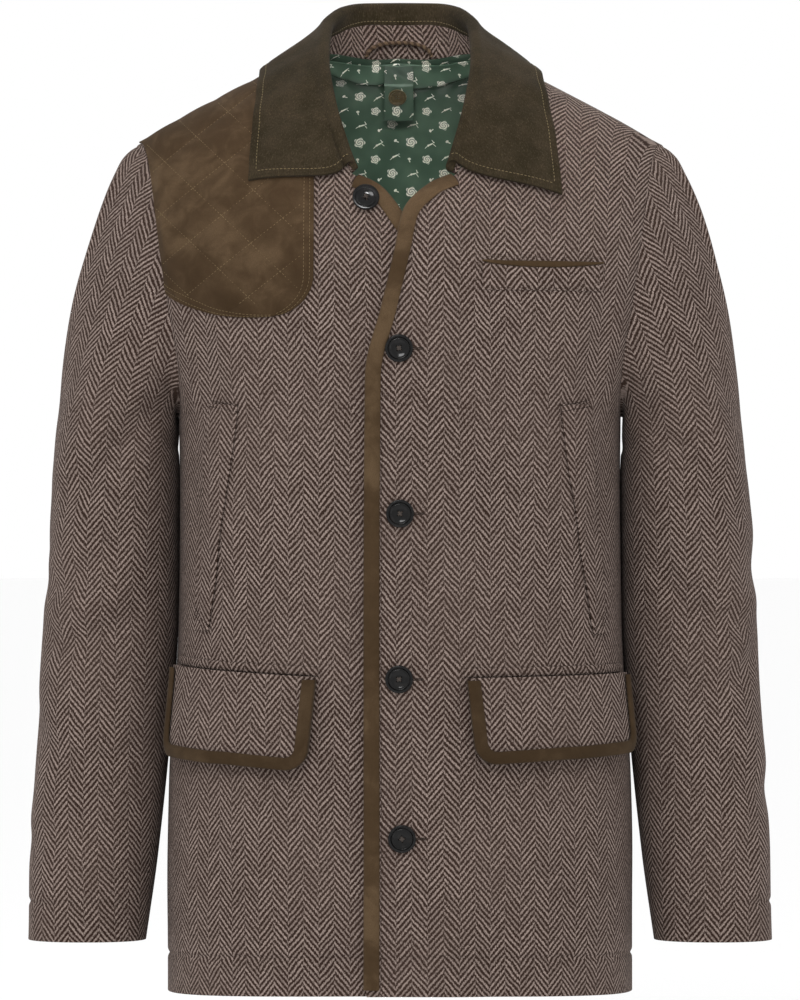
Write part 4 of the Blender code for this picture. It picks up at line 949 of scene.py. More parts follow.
def panel_drape(face, side, angle, level):
    """How far the worn cloth lies off its plain form."""
    place = flat_place(face, angle, level)
    u, v = place[..., 0], place[..., 1]
    own = side if face < 0 else np.where(u < 0, -1, 1)
    creases = FRONT_CREASES if face < 0 else BACK_CREASES
    dents = crease_sum(creases, own, np.abs(u), v)
    waves = PANEL_WAVE * soft_waves(u, v, 1.3 * side if face < 0 else 4.1)
    ends = flat_place(face, armhole_angle(face, level), level)[..., 0]
    above = step((level - ARMPIT_LEVEL + DIP_LEVEL) / DIP_FADE)
    from_seam = np.clip(ends - np.abs(u), 0, None)
    dip = np.exp(-from_seam / SEAM_REACH) * above
    quiet = step(from_seam / CALM_BY_SEAM)
    if face < 0:
        starts = flat_place(face, edge_angle(side, level), level)[..., 0]
        from_edge = u - np.maximum(starts, EDGE_LEAST) - EDGE_FLAT
        quiet = quiet * step(from_edge / EDGE_CALM) * step((2 - level) / CALM_BY_SHOULDER)
    else:
        quiet = quiet * step((neckline_level(angle / SHOULDER_ANGLE) - level) / CALM_BY_NECK)
    stitched = HEM_FOLD_DEPTH * np.exp(-(((v - HEM - HEM_FOLD) / HEM_FOLD_REACH) ** 2))
    return (dents + waves) * quiet - SEAM_DIP * dip - stitched


def worn_front(side, angle, level, out=0.0):
    """Points on or over a front as it is worn, creases and all."""
    return front_point(side, angle, level, panel_drape(-1, side, angle, level) + out)


def worn_back(angle, level, out=0.0):
    """Points on or over the back as it is worn."""
    return back_point(angle, level, panel_drape(1, 1, angle, level) + out)


def worn_view(side, x, z, out=0.0):
    """Points on or over a worn front, placed by where they show from the front."""
    x, z = np.broadcast_arrays(np.asarray(x, float), np.asarray(z, float))
    level = level_at(x, z)
    return worn_front(side, angle_at(x, level), level, out)


def worn_girth(side, across, height, out=0.0):
    """Points on or over a worn front, placed by the way round it."""
    angle, level = girth_place(np.asarray(across, float), height)
    return worn_front(side, angle, level, out)


u, v = np.meshgrid(np.linspace(0.02, 0.2, 40), np.linspace(-0.7, -0.1, 90))
deepest = -float(crease_sum(FRONT_CREASES, 1, u, v).min())
print("deepest crease in front:", round(deepest * 1000, 1), "mm")


# %% Fronts
FRONT_ROWS, FRONT_COLUMNS, CROWDING = 184, 64, 1.08
WEAVE_SHIFT = {1: 0.0031, -1: 0.0104}
HEM_ROWS = np.linspace(0.56, 0.90, 17)


def row_levels(count):
    """Levels at the edge and at the side for finer rows."""
    rows = np.union1d(np.linspace(0, len(SIDE_LEVELS) - 1, count + 1), HEM_ROWS)
    known = np.arange(len(SIDE_LEVELS))
    return np.interp(rows, known, EDGE_LEVELS), np.interp(rows, known, SIDE_LEVELS)


for side, name in ((1, "left"), (-1, "right")):
    at_edge, at_side = row_levels(FRONT_ROWS)
    share = np.linspace(0, 1, FRONT_COLUMNS + 1) ** CROWDING
    level = at_edge[:, None] + (at_side - at_edge)[:, None] * share
    start = edge_angle(side, level)
    angle = start + (armhole_angle(-1, level) - start) * share
    place = flat_place(-1, angle, level)
    outer = worn_front(side, angle, level)
    inner = worn_front(side, angle, level, -TWEED)
    place[..., 0] += WEAVE_SHIFT[side]
    front = cloth_wall(
        f"tweed_front_{name}", outer, inner, place, (tweed, satin), "tweed",
        replaces=(f"front_{name}",),
    )
    declare_sheet(front, 0.345, 0.800)

# %% [markdown]
# Over the shoulder a panel bends two ways, so its places can't all be measured along one
# line. There they start as measured and are then slid, many small times, until every
# place is as far from its neighbours as on the cloth.

# %% Flattening
COARSE_ROWS, COARSE_COLUMNS, FLATTENING, PUSH = 4, 5, 2500, 1.5


def flattened(grid, place, count):
    """Slides the first rows' places until their distances are those on the cloth, as in a cut."""
    rows = np.arange(0, count + 1, COARSE_ROWS)
    columns = np.arange(0, grid.shape[1], COARSE_COLUMNS)
    points, start = grid[np.ix_(rows, columns)], place[np.ix_(rows, columns)]
    flat = start.copy()
    pairs = []
    for first, second in (
        (np.s_[:-1, :], np.s_[1:, :]), (np.s_[:, :-1], np.s_[:, 1:]),
        (np.s_[:-1, :-1], np.s_[1:, 1:]), (np.s_[1:, :-1], np.s_[:-1, 1:]),
    ):
        pairs.append((first, second, np.linalg.norm(points[second] - points[first], axis=2)))
    for _ in range(FLATTENING):
        moved, counted = np.zeros_like(flat), np.zeros(flat.shape[:2])
        for first, second, length in pairs:
            way = flat[second] - flat[first]
            now = np.linalg.norm(way, axis=2)
            pull = way * ((now - length) / np.maximum(now, 1e-9) / 2)[..., None]
            moved[first] += pull
            moved[second] -= pull
            counted[first] += 1
            counted[second] += 1
        moved[-1] = 0
        flat += PUSH * moved / counted[..., None]
    change = flat - start
    r = np.minimum(np.arange(count + 1) / COARSE_ROWS, len(rows) - 1.0001)
    c = np.minimum(np.arange(grid.shape[1]) / COARSE_COLUMNS, len(columns) - 1.0001)
    r0, c0 = r.astype(int), c.astype(int)
    t, s = (r - r0)[:, None, None], (c - c0)[None, :, None]
    low = change[r0][:, c0] * (1 - s) + change[r0][:, c0 + 1] * s
    high = change[r0 + 1][:, c0] * (1 - s) + change[r0 + 1][:, c0 + 1] * s
    result = place.copy()
    result[: count + 1] += low * (1 - t) + high * t
    return result


# %% Back
BACK_HALF_COLUMNS, SHOULDER_ROWS = (22, 44), 84

half = np.concatenate([
    np.linspace(0, NECK_SHARE, BACK_HALF_COLUMNS[0] + 1),
    np.linspace(NECK_SHARE, 1, BACK_HALF_COLUMNS[1] + 1)[1:],
])
share = np.concatenate([-half[:0:-1], half])[None, :]
_, level = row_levels(FRONT_ROWS)
room = (neckline_level(share) - BACK_SQUEEZE_LEVEL) / (2 - BACK_SQUEEZE_LEVEL)
over = level[:, None] + 0 * share - BACK_SQUEEZE_LEVEL
level = np.where(over > 0, BACK_SQUEEZE_LEVEL + over * room, level[:, None] + 0 * share)
angle = share * armhole_angle(1, level)
place = flat_place(1, angle, level)
back_outer, back_inner = worn_back(angle, level), worn_back(angle, level, -TWEED)
place = flattened(back_outer[::-1], place[::-1], SHOULDER_ROWS)[::-1]
back = cloth_wall(
    "tweed_back", back_outer, back_inner, place, (tweed, satin), "tweed", replaces=("back",)
)
declare_sheet(back, 0.580, 0.840)

# %% [markdown]
# ## Sleeves
#
# A sleeve is one cut piece sewn into a tube and set into the armhole. So the tube starts
# at the very points where the front and the back end, and a smooth curve leads each of
# them down to the rings of the arm. The weave follows the arm. Creases gather at the
# elbow and under the arm, and a pressed line marks the hem of the cuff. At the shoulder
# point the rows are evened out, and where a sleeve faces the body it is a little fuller.

# %% Rings of the sleeve
ArmRing = namedtuple("ArmRing", "name height middle forward half_width half_depth")
ARM_RINGS = (
    ArmRing("cuff", -0.7245, 0.2655, -0.014, 0.0500, 0.0450),
    ArmRing("wrist", -0.650, 0.2597, -0.008, 0.0545, 0.0500),
    ArmRing("forearm", -0.560, 0.2526, 0.000, 0.0566, 0.0560),
    ArmRing("elbow", -0.480, 0.2472, 0.004, 0.0575, 0.0600),
    ArmRing("over the elbow", -0.400, 0.2437, 0.003, 0.0560, 0.0640),
    ArmRing("upper arm", -0.318, 0.2416, 0.000, 0.0524, 0.0660),
)
arm_reader = {column: reader(ARM_RINGS, "height", column) for column in ArmRing._fields[2:]}
SLEEVE_SQUARENESS, SMOOTH_TOP, LEAVES_SIDE, UNDERARM_GAP = 2.2, 0.92, 0.62, 0.0005
CAP_START_PULL, CAP_END_PULL, RING_STEP = 0.54, 1.05, 0.01
CAP_ROWS, ARM_ROWS, LOOP_STEPS = 56, 100, 5
EASE_COLUMNS, EASE_ROWS, EASINGS = 9, 6, 50
CUFF_FOLD = 0.031
ARM_HEIGHTS = np.union1d(
    np.linspace(ARM_RINGS[0].height, ARM_RINGS[-1].height, ARM_ROWS + 1),
    ARM_RINGS[0].height + CUFF_FOLD + np.linspace(-0.006, 0.006, 13),
)[::-1]


def arm_ring(height, turns):
    """Points round the arm; a turn of 0 is away from the body, 90 degrees is in front."""
    sine, cosine = np.sin(turns), np.cos(turns)
    power = SLEEVE_SQUARENESS
    reach = (np.abs(sine) ** power + np.abs(cosine) ** power) ** (-1 / power)
    x = arm_reader["middle"](height) + arm_reader["half_width"](height) * cosine * reach
    y = arm_reader["forward"](height) - arm_reader["half_depth"](height) * sine * reach
    return np.stack([x, y, height + 0.0 * x], -1)


def armhole_loop(side, out):
    """Points round an armhole as if on the left: shoulder, front, armpit, back."""
    last = len(SIDE_LEVELS) - 1
    rows = np.linspace(ROWS_BELOW, last, (last - ROWS_BELOW) * LOOP_STEPS + 1)
    levels = np.interp(rows, np.arange(len(SIDE_LEVELS)), SIDE_LEVELS)
    flip = np.array([side, 1, 1])
    front = worn_front(side, armhole_angle(-1, levels), levels, out) * flip
    back = worn_back(side * armhole_angle(1, levels), levels, out) * flip
    shoulder, armpit = (front[-1] + back[-1]) / 2, (front[0] + back[0]) / 2
    return np.concatenate([shoulder[None], front[-2:0:-1], armpit[None], back[1:-1]])


def sleeve_rows(side):
    """Rows of outer points from the armhole to the cuff, and the first inner row."""
    start_out, start_in = armhole_loop(side, 0), armhole_loop(side, -TWEED)
    normal = unit(start_out - start_in)
    along = unit(np.roll(start_out, -1, 0) - np.roll(start_out, 1, 0))
    on = unit(np.cross(normal, along))
    steps = np.linalg.norm(np.roll(start_out, -1, 0) - start_out, axis=1)
    turns = 2 * np.pi * np.concatenate([[0], np.cumsum(steps)[:-1]]) / steps.sum()
    gap = (SEAM_GAP + UNDERARM_GAP * np.clip(-np.cos(turns), 0, None) ** 4)[:, None]
    first, first_in = start_out + on * gap, start_in + on * gap
    top = ARM_RINGS[-1].height
    target, below = arm_ring(top, turns), arm_ring(top - RING_STEP, turns)
    smooth = (SMOOTH_TOP * (0.5 + 0.5 * np.cos(turns)) ** 2)[:, None]
    rough = 1 - smooth
    leaving = unit(on * (smooth + rough * LEAVES_SIDE) + normal * rough * (1 - LEAVES_SIDE))
    far = np.linalg.norm(target - first, axis=1, keepdims=True)
    pull_out, pull_down = leaving * far * CAP_START_PULL, unit(below - target) * far * CAP_END_PULL
    rows = []
    for t in np.linspace(0, 1, CAP_ROWS + 1):
        rows.append(
            first * (1 + 2 * t) * (1 - t) ** 2 + target * t * t * (3 - 2 * t)
            + pull_out * t * (1 - t) ** 2 + pull_down * t * t * (t - 1)
        )
    for height in ARM_HEIGHTS[1:]:
        rows.append(arm_ring(height, turns))
    rows, column = np.array(rows), np.arange(len(turns))
    ease = bump(np.minimum(column, len(column) - column), EASE_COLUMNS)[None, :, None]
    ease = ease * step(np.arange(len(rows)) / EASE_ROWS)[:, None, None]
    for _ in range(EASINGS):
        rows = rows + ease * (np.roll(rows, 1, 1) + np.roll(rows, -1, 1) - 2 * rows) / 4
    return rows, first_in


def sleeve_places(rows):
    """Places on the flat sleeve: way round from the outer line, and way along the arm."""
    columns = rows.shape[1]
    order = (np.arange(columns + 1) + columns // 2) % columns
    grid = rows[:, order]
    lengths = np.linalg.norm(np.diff(grid, axis=0), axis=2)
    down = np.vstack([np.zeros(columns + 1), np.cumsum(lengths, axis=0)])
    v = ARM_RINGS[-1].height - (down - down[CAP_ROWS])
    along = np.linalg.norm(np.diff(grid, axis=1), axis=2)
    across = np.sqrt(np.clip(along**2 - np.diff(v, axis=1) ** 2, (0.5 * along) ** 2, None))
    u = np.hstack([np.zeros((len(grid), 1)), np.cumsum(across, axis=1)])
    return grid, np.stack([u - u[:, [columns // 2]], v], -1)


sample, _ = sleeve_rows(1)
print("sleeve rows:", sample.shape[0], "of", sample.shape[1], "points")

# %% Sleeves
# u is the way round from the arm's outer line, positive in front; turn 0 lies round the arm
SLEEVE_CREASES = (
    Crease("left elbow, inner", 1, 0.075, -0.452, 0.110, 0.014, 22, 0.0040),
    Crease("left elbow, lower", 1, 0.060, -0.505, 0.100, 0.013, -20, 0.0034),
    Crease("left upper arm", 1, 0.085, -0.340, 0.120, 0.016, 40, 0.0036),
    Crease("left under the armhole", 1, 0.100, -0.300, 0.110, 0.017, 62, 0.0022),
    Crease("left forearm", 1, 0.050, -0.590, 0.110, 0.016, 26, 0.0026),
    Crease("left over the cuff", 1, 0.070, -0.655, 0.080, 0.014, -14, 0.0022),
    Crease("left cap", 1, 0.050, -0.235, 0.110, 0.022, 74, 0.0020),
    Crease("left outer arm", 1, -0.020, -0.400, 0.110, 0.020, -30, 0.0022),
    Crease("left elbow, back", 1, -0.095, -0.470, 0.100, 0.015, -24, 0.0034),
    Crease("left forearm, back", 1, -0.080, -0.560, 0.110, 0.016, 18, 0.0026),
    Crease("left upper arm, back", 1, -0.090, -0.310, 0.110, 0.016, -46, 0.0034),
    Crease("right elbow, inner", -1, 0.080, -0.470, 0.105, 0.014, 16, 0.0040),
    Crease("right elbow, upper", -1, 0.070, -0.415, 0.100, 0.014, 30, 0.0032),
    Crease("right upper arm", -1, 0.090, -0.325, 0.120, 0.016, 46, 0.0038),
    Crease("right under the armhole", -1, 0.102, -0.295, 0.110, 0.017, 64, 0.0022),
    Crease("right forearm", -1, 0.055, -0.570, 0.120, 0.017, -22, 0.0028),
    Crease("right over the cuff", -1, 0.050, -0.640, 0.090, 0.014, 20, 0.0022),
    Crease("right cap", -1, 0.045, -0.225, 0.115, 0.022, 76, 0.0022),
    Crease("right outer arm", -1, -0.025, -0.430, 0.120, 0.021, 28, 0.0022),
    Crease("right elbow, back", -1, -0.090, -0.450, 0.105, 0.015, 22, 0.0036),
    Crease("right forearm, back", -1, -0.085, -0.580, 0.100, 0.016, -20, 0.0024),
    Crease("right upper arm, back", -1, -0.095, -0.300, 0.115, 0.016, 44, 0.0032),
)

SLEEVE_CREASE_SHARE, SLEEVE_WAVE, SLEEVE_CALM = 1.35, 0.0009, 0.30
HEM_DEPTH, HEM_WIDTH = 0.0014, 0.0024
HEAD_DIP, HEAD_DIP_REACH = 0.0016, 0.007
HEAD_PUFF, HEAD_PUFF_AT, HEAD_PUFF_WIDTH = 0.0012, 0.017, 0.010
FACING_FROM, FACING_FADE, FACING_START, FACING_ROWS = 0.115, 0.035, 0.75, 0.2
FILL_LEAST, FILL_MOST, FILL_HEIGHT, FILL_REACH = 0.0003, 0.0015, -0.330, 0.034
SLEEVE_WEAVE_SHIFT = {1: (0.0045, 0.0021), -1: (0.0012, 0.0021)}

for side, name in ((1, "left"), (-1, "right")):
    rows, first_in = sleeve_rows(side)
    grid, place = sleeve_places(rows)
    columns = grid.shape[1] - 1
    order = (np.arange(columns + 1) + columns // 2) % columns
    grid, start_in = grid[:, :-1], first_in[order[:-1]]
    normals = grid_normals(grid, ring=True)
    middle = grid.mean(axis=1, keepdims=True)
    if (normals[-20] * (grid[-20] - middle[-20])).sum() < 0:
        normals = -normals
    u, v = place[:, :-1, 0], place[:, :-1, 1]
    below = np.arange(len(grid))[:, None] / CAP_ROWS
    from_seam = np.linalg.norm(grid - grid[:1], axis=2)
    hem = HEM_DEPTH * bump(v - ARM_RINGS[0].height - CUFF_FOLD, HEM_WIDTH)
    dip = HEAD_DIP * np.exp(-from_seam / HEAD_DIP_REACH) * (1 - step((below - 0.3) / 0.5))
    puff = HEAD_PUFF * bump(from_seam - HEAD_PUFF_AT, HEAD_PUFF_WIDTH) * (below < 1.2)
    creased = SLEEVE_CREASE_SHARE * crease_sum(SLEEVE_CREASES, side, u, v)
    waves = SLEEVE_WAVE * soft_waves(u, v, 2.0 + side)
    depth = (creased + waves) * step(below / SLEEVE_CALM) - hem
    facing_body = step((np.abs(u) - FACING_FROM) / FACING_FADE)
    facing_body = facing_body * step((below - FACING_START) / FACING_ROWS)
    fill = FILL_LEAST + FILL_MOST * bump(v - FILL_HEIGHT, FILL_REACH)
    depth = depth * (1 - facing_body) + fill * facing_body
    depth = depth + puff * step(below / 0.05) - dip * step(below / 0.02)
    outer = grid + normals * (depth * step(below / 0.02))[..., None]
    inner = outer - normals * TWEED
    inner[0] = start_in
    flip = np.array([side, 1, 1])
    shown = flattened(rows[:, order], place, CAP_ROWS) + SLEEVE_WEAVE_SHIFT[side]
    sleeve = cloth_wall(
        f"tweed_sleeve_{name}", outer * flip, inner * flip, shown, (tweed, satin), "tweed",
        ring=True, replaces=(f"sleeve_{name}",),
    )
    declare_sheet(sleeve, 0.500, 0.640)

# %% [markdown]
# ## Collar and stand
#
# A turned-down collar is one strip that climbs out of the neck seam, rolls over, and falls
# onto the shoulders. Seen across, it is a hook. The hook is worked out at each station
# round the neck: a rise, a half circle, and a curve down to the collar's edge. Where the
# fall would touch the shoulders, it is pushed off them. The inside of the neck shows a
# tweed stand below the roll.

# %% Stations of the collar
CollarStation = namedtuple(
    "CollarStation", "name along roll_x roll_y roll_z edge_x edge_climb lean"
)
COLLAR = (
    CollarStation("centre back", 0.00, 0.0000, 0.0560, 0.0745, 0.0000, 1.345, 0.0),
    CollarStation("back", 0.13, 0.0310, 0.0520, 0.0738, 0.0520, 1.330, 0.0),
    CollarStation("back corner", 0.25, 0.0490, 0.0360, 0.0695, 0.0950, 1.220, 0.0),
    CollarStation("side", 0.38, 0.0595, 0.0000, 0.0545, 0.1130, 1.020, 0.0),
    CollarStation("side front", 0.655, 0.0612, -0.0580, 0.0185, 0.1180, 0.740, 0.4),
    CollarStation("front", 0.856, 0.0565, -0.0940, -0.0185, 0.1215, 0.580, 0.8),
    CollarStation("end", 1.00, 0.0405, -0.1205, -0.0715, 0.1240, 0.442, 1.0),
)
collar_reader = {column: reader(COLLAR, "along", column) for column in CollarStation._fields[2:]}
SHOULDER_ALONG = 0.38
ROLL, REST, LEAST = 0.0058, 0.0046, 0.0042
STRIP, STRIP_SHARE = 0.014, 0.45
START_DOWN, START_OUT, END_BACK, BULGE = 0.25, 0.02, 0.35, 0.03
LEAN_X, LEAN_LEVEL = 0.0085, -0.030
ROLL_STEPS, STRIP_STEPS, FALL_STEPS, HALF_STATIONS = 10, 6, 34, 84


def neck_seam(along, side, out):
    """Points of one half's neck seam, from the middle of the back, as if on the left side."""
    share = NECK_SHARE * np.minimum(along, SHOULDER_ALONG) / SHOULDER_ALONG
    high = neckline_level(share)
    behind = back_point(share * armhole_angle(1, high), high, out)
    down = np.clip((along - SHOULDER_ALONG) / (1 - SHOULDER_ALONG), 0, 1)
    level = 2 + (COLLAR_END_LEVEL - 2) * down
    before = front_point(side, edge_angle(side, level), level, out) * np.array([side, 1, 1])
    return np.where((along <= SHOULDER_ALONG)[..., None], behind, before)


def neck_frame(along, side):
    """The seam's outer and inner points, and the way past the cloth's edge."""
    outer, inner = neck_seam(along, side, 0.0), neck_seam(along, side, -TWEED)
    low, high = np.clip(along - 0.02, 0, 1), np.clip(along + 0.02, 0, 1)
    tangent = unit(neck_seam(high, side, 0.0) - neck_seam(low, side, 0.0))
    on = unit(np.cross(tangent, unit(outer - inner)))
    inward = np.array([0, 0, 1.0]) - outer * np.array([1, 1, 0]) * 3
    on = np.where((on * inward).sum(-1, keepdims=True) < 0, -on, on)
    return outer, inner, on


def over_shoulder(x, climb, out):
    """Points over the body, climbing from the chest line over the shoulder to the back."""
    front, back = (-1, angle_at(x, 1 + climb), 1 + climb), (1, angle_at(x, 3 - climb), 3 - climb)
    before, behind = (body_point(*spot) + body_normal(*spot) * out for spot in (front, back))
    return np.where((climb <= 1)[..., None], before, behind)


def clear_of_body(point, side, out):
    """Points of the collar, moved out where they would be nearer to the shoulders than this."""
    x, y, z = point[..., 0], point[..., 1], point[..., 2]
    before, behind = (
        np.abs(body_point(face, angle_at(x, 1.0), 1.0 + 0 * x)[..., 1]) for face in (-1, 1)
    )
    depth = np.where(y < 0, before, behind)
    climb = np.arctan2((z - CHEST) / (ridge_at(x) - CHEST), -y / depth) / np.radians(90)
    spot, beyond = over_shoulder(x, climb, 0.0), over_shoulder(x, climb, 0.001)
    normal = unit(beyond - spot)
    short = out + overlap_lift(side, x, z) - ((point - spot) * normal).sum(-1)
    return point + normal * np.clip(short, 0, None)[..., None]


def collar_half(side):
    """The collar's shown surface on one half: (station, way across), and the top of the stand."""
    along = np.linspace(0, 1, HALF_STATIONS + 1)
    outer, inner, on = neck_frame(along, side)
    roll_x, roll_y, roll_z, edge_x, edge_climb, lean = (
        collar_reader[name](along) for name in CollarStation._fields[2:]
    )
    if side > 0:
        edge_x, edge_climb = edge_x + LEAN_X * lean, edge_climb + LEAN_LEVEL * lean
    roll = np.stack([roll_x, roll_y, roll_z], -1)
    edge = over_shoulder(edge_x, edge_climb, COLLAR_CLOTH + REST)
    up = unit(roll - outer)
    out = edge - roll
    out = unit(out - up * (out * up).sum(-1, keepdims=True))
    centre, foot = roll - up * ROLL, inner + on * SEAM_GAP
    head = centre - out * ROLL
    rise = np.linalg.norm(head - foot, axis=-1, keepdims=True)
    strip = np.minimum(STRIP, STRIP_SHARE * rise)
    stand_top = foot + (head - foot) * (1 - strip / rise)
    strip_foot = stand_top + unit(head - foot) * SEAM_GAP
    path = [strip_foot + (head - strip_foot) * t for t in np.linspace(0, 1, STRIP_STEPS + 1)]
    for turn in np.linspace(0, np.pi, ROLL_STEPS + 1)[1:]:
        path.append(centre - out * ROLL * math.cos(turn) + up * ROLL * math.sin(turn))
    start = path[-1]
    far = np.linalg.norm(edge - start, axis=-1, keepdims=True)
    over = unit(np.cross(edge - start, np.cross(out, up)))
    over = np.where((over * out).sum(-1, keepdims=True) < 0, -over, over)
    first = start - up * far * START_DOWN + out * far * START_OUT
    second = edge + (start - edge) * END_BACK + over * far * BULGE
    for t in np.linspace(0, 1, FALL_STEPS + 1)[1:]:
        fall = start * (1 - t) ** 3 + 3 * first * t * (1 - t) ** 2
        fall = fall + 3 * second * t * t * (1 - t) + edge * t**3
        path.append(clear_of_body(fall, side, COLLAR_CLOTH + LEAST))
    flip = np.array([side, 1, 1])
    frame_of_seam = (outer * flip, inner * flip, on * flip, out * flip, stand_top * flip)
    return np.stack(path, 1) * flip, frame_of_seam


def way_along(grid, axis):
    """Distance along a grid's lines from their start."""
    steps = np.linalg.norm(np.diff(grid, axis=axis), axis=2)
    start = np.zeros_like(np.take(steps, [0], axis=axis))
    return np.cumsum(np.concatenate([start, steps], axis=axis), axis=axis)


def line_ways(line):
    """Distance along one line from its start."""
    return way_along(line[None], 1)[0]


def grid_place(grid, across):
    """Places on the flat cloth by the ways along a grid; across is the axis that runs across it."""
    return np.stack([way_along(grid, across), way_along(grid, 1 - across)], -1)


right_half, right_seam = collar_half(-1)
left_half, left_seam = collar_half(1)
collar_grid = np.concatenate([right_half[::-1], left_half[1:]])
seam = [np.concatenate([a[::-1], b[1:]]) for a, b in zip(right_seam, left_seam)]
print("collar:", collar_grid.shape[0], "stations of", collar_grid.shape[1], "points")

# %% Collar
TOPSTITCH_IN, GROOVE_DEPTH, GROOVE_WIDTH = 0.0066, 0.00045, 0.0013
PILLOW_HEIGHT, PILLOW_IN, PILLOW_WIDTH = 0.00035, 0.0032, 0.0024
COLLAR_WAVE, COLLAR_WAVES, COLLAR_RIPPLE, COLLAR_RIPPLES = 0.0007, 7.3, 0.0005, 12.7


def edge_distance(grid):
    """How far each point of the collar is from its outer edge or its ends."""
    across, along = way_along(grid, 1), way_along(grid, 0)
    return np.minimum(across[:, -1:] - across, np.minimum(along, along[-1:] - along))


normals = grid_normals(collar_grid)
if normals[len(normals) // 2, -3, 2] < 0:
    normals = -normals
from_edge = edge_distance(collar_grid)
groove = GROOVE_DEPTH * bump(from_edge - TOPSTITCH_IN, GROOVE_WIDTH)
pillow = PILLOW_HEIGHT * bump(from_edge - PILLOW_IN, PILLOW_WIDTH)
station, across = np.meshgrid(*(np.linspace(0, 1, n) for n in collar_grid.shape[:2]), indexing="ij")
falling = step((across - 0.35) / 0.3)
wave = COLLAR_WAVE * np.sin(
    2 * np.pi * station * COLLAR_WAVES + 1.1
) * np.sin(np.pi * across) * falling
ripple = np.sin(2 * np.pi * station * COLLAR_RIPPLES + 2.0 + 3 * across)
wave = wave + COLLAR_RIPPLE * ripple * falling
collar_outer = collar_grid + normals * (pillow - groove + wave)[..., None]
collar_inner = collar_grid + normals * (wave - COLLAR_CLOTH)[..., None]
place = grid_place(collar_grid, 0)
collar = cloth_wall(
    "olive_collar", collar_outer, collar_inner, place, (olive,), "olive_cloth",
    rim_round=0.0011, replaces=("collar",),
)
declare_sheet(collar, 0.125, 0.700)

# %% Stand
seam_outer, seam_inner, seam_on, seam_out, stand_top = seam
foot_out, foot_in = seam_outer + seam_on * LAID_GAP, seam_inner + seam_on * LAID_GAP
shares = np.linspace(0, 1, 13)[None, :, None]
stand_front = foot_out[:, None] + (stand_top + seam_out * TWEED - foot_out)[:, None] * shares
stand_back = foot_in[:, None] + (stand_top - foot_in)[:, None] * shares
place = grid_place(stand_back, 0)
stand = cloth_wall(
    "tweed_stand", stand_front, stand_back, place, (tweed,), "tweed",
    rim_round=0.0005, replaces=("collar_stand",),
)
declare_sheet(stand, 0.040, 0.480)

# %% [markdown]
# ## Suede bindings
#
# A raw edge of thick cloth is closed with a strip of suede folded round it. The strip is
# swept along the edge: its section is a narrow U, a little plumper over the fold and
# pressed in where its seam runs.

# %% Binding section
BINDING_WIDTH, BINDING_SHORT, BINDING_GAP = 0.0108, 0.012, 0.0009
FOLD_POINTS, SIDE_POINTS, FOLD_SHARE = 9, 11, 0.10
BINDING_PUFF, BINDING_PRESS = 0.0012, 0.0005


def binding_section(width, gap, scale=1.0):
    """(how far inside the edge, how far over the cloth's face) of the outer and inner points."""
    over, under, middle = gap + SUEDE, -TWEED - gap - SUEDE, -TWEED / 2
    side = np.linspace(1, FOLD_SHARE, SIDE_POINTS)
    turn = np.linspace(0, np.pi, FOLD_POINTS + 2)[1:-1]
    puff = BINDING_PUFF * np.sin(np.pi * np.clip((1 - side) / (1 - FOLD_SHARE), 0, 1))
    puff = puff - BINDING_PRESS * bump(side - 1.0, FOLD_SHARE)
    half, thin = (over - under) / 2, TWEED / 2 + gap
    fold = FOLD_SHARE * width
    far, far_in = (
        np.concatenate(
            [side * width, fold - np.sin(turn) * (fold + scale * past), side[::-1] * width]
        )
        for past in (gap + SUEDE, gap)
    )
    off = np.concatenate([over + puff, middle + np.cos(turn) * half, under + 0 * side])
    off_in = np.concatenate([gap + 0 * side, middle + np.cos(turn) * thin, -TWEED - gap + 0 * side])
    return far, off, far_in, off_in


section = binding_section(BINDING_WIDTH, BINDING_GAP)
print("binding section:", len(section[0]), "points round the fold")

# %% Front edge bindings
BINDING_STATIONS = 230


def edge_frame(side, level):
    """Points on a front's edge and the way inside it, in the front view."""
    angle = edge_angle(side, level)
    edge = front_point(side, angle, level)
    normal = unit(edge - front_point(side, angle, level, -TWEED))
    low, high = np.maximum(0.0, level - 0.01), level + 0.01
    ahead, behind = (front_point(side, edge_angle(side, at), at) for at in (high, low))
    return edge, unit(np.cross(unit(ahead - behind), normal)) * side


def along_edge(side, level, far, off):
    """Points beside a front's edge: how far inside it, and how far over the cloth."""
    edge, inside = edge_frame(side, level)
    place = edge[:, None] + inside[:, None] * np.asarray(far)[None, :, None]
    off = np.broadcast_to(off, place.shape[:2])
    return worn_view(side, place[..., 0] * side, place[..., 2], off)


bound = [*EDGE_LEVELS[:18], COLLAR_END_LEVEL - BINDING_SHORT]
binding_levels = np.interp(np.linspace(0, 18, BINDING_STATIONS + 1), np.arange(19), bound)
far, off, far_in, off_in = section
for side, name in ((1, "left"), (-1, "right")):
    outer = along_edge(side, binding_levels, far, off)
    inner = along_edge(side, binding_levels, far_in, off_in)
    place = grid_place(outer, 1)
    binding = cloth_wall(
        f"suede_edge_{name}", outer, inner, place, (binding_suede,), "suede",
        rim_round=0.0005, replaces=(f"edge_binding_{name}",),
    )
    declare_sheet(binding, 0.032, 0.690)

# %% [markdown]
# ## Quilted shoulder patch
#
# A hunter rests the gun's stock on the shoulder, so a field jacket has suede there, with
# padding quilted in diamonds. The relief is worked out from two slanting sets of lines: it
# is nothing on a line and fullest between them. The patch follows the front, just over it.

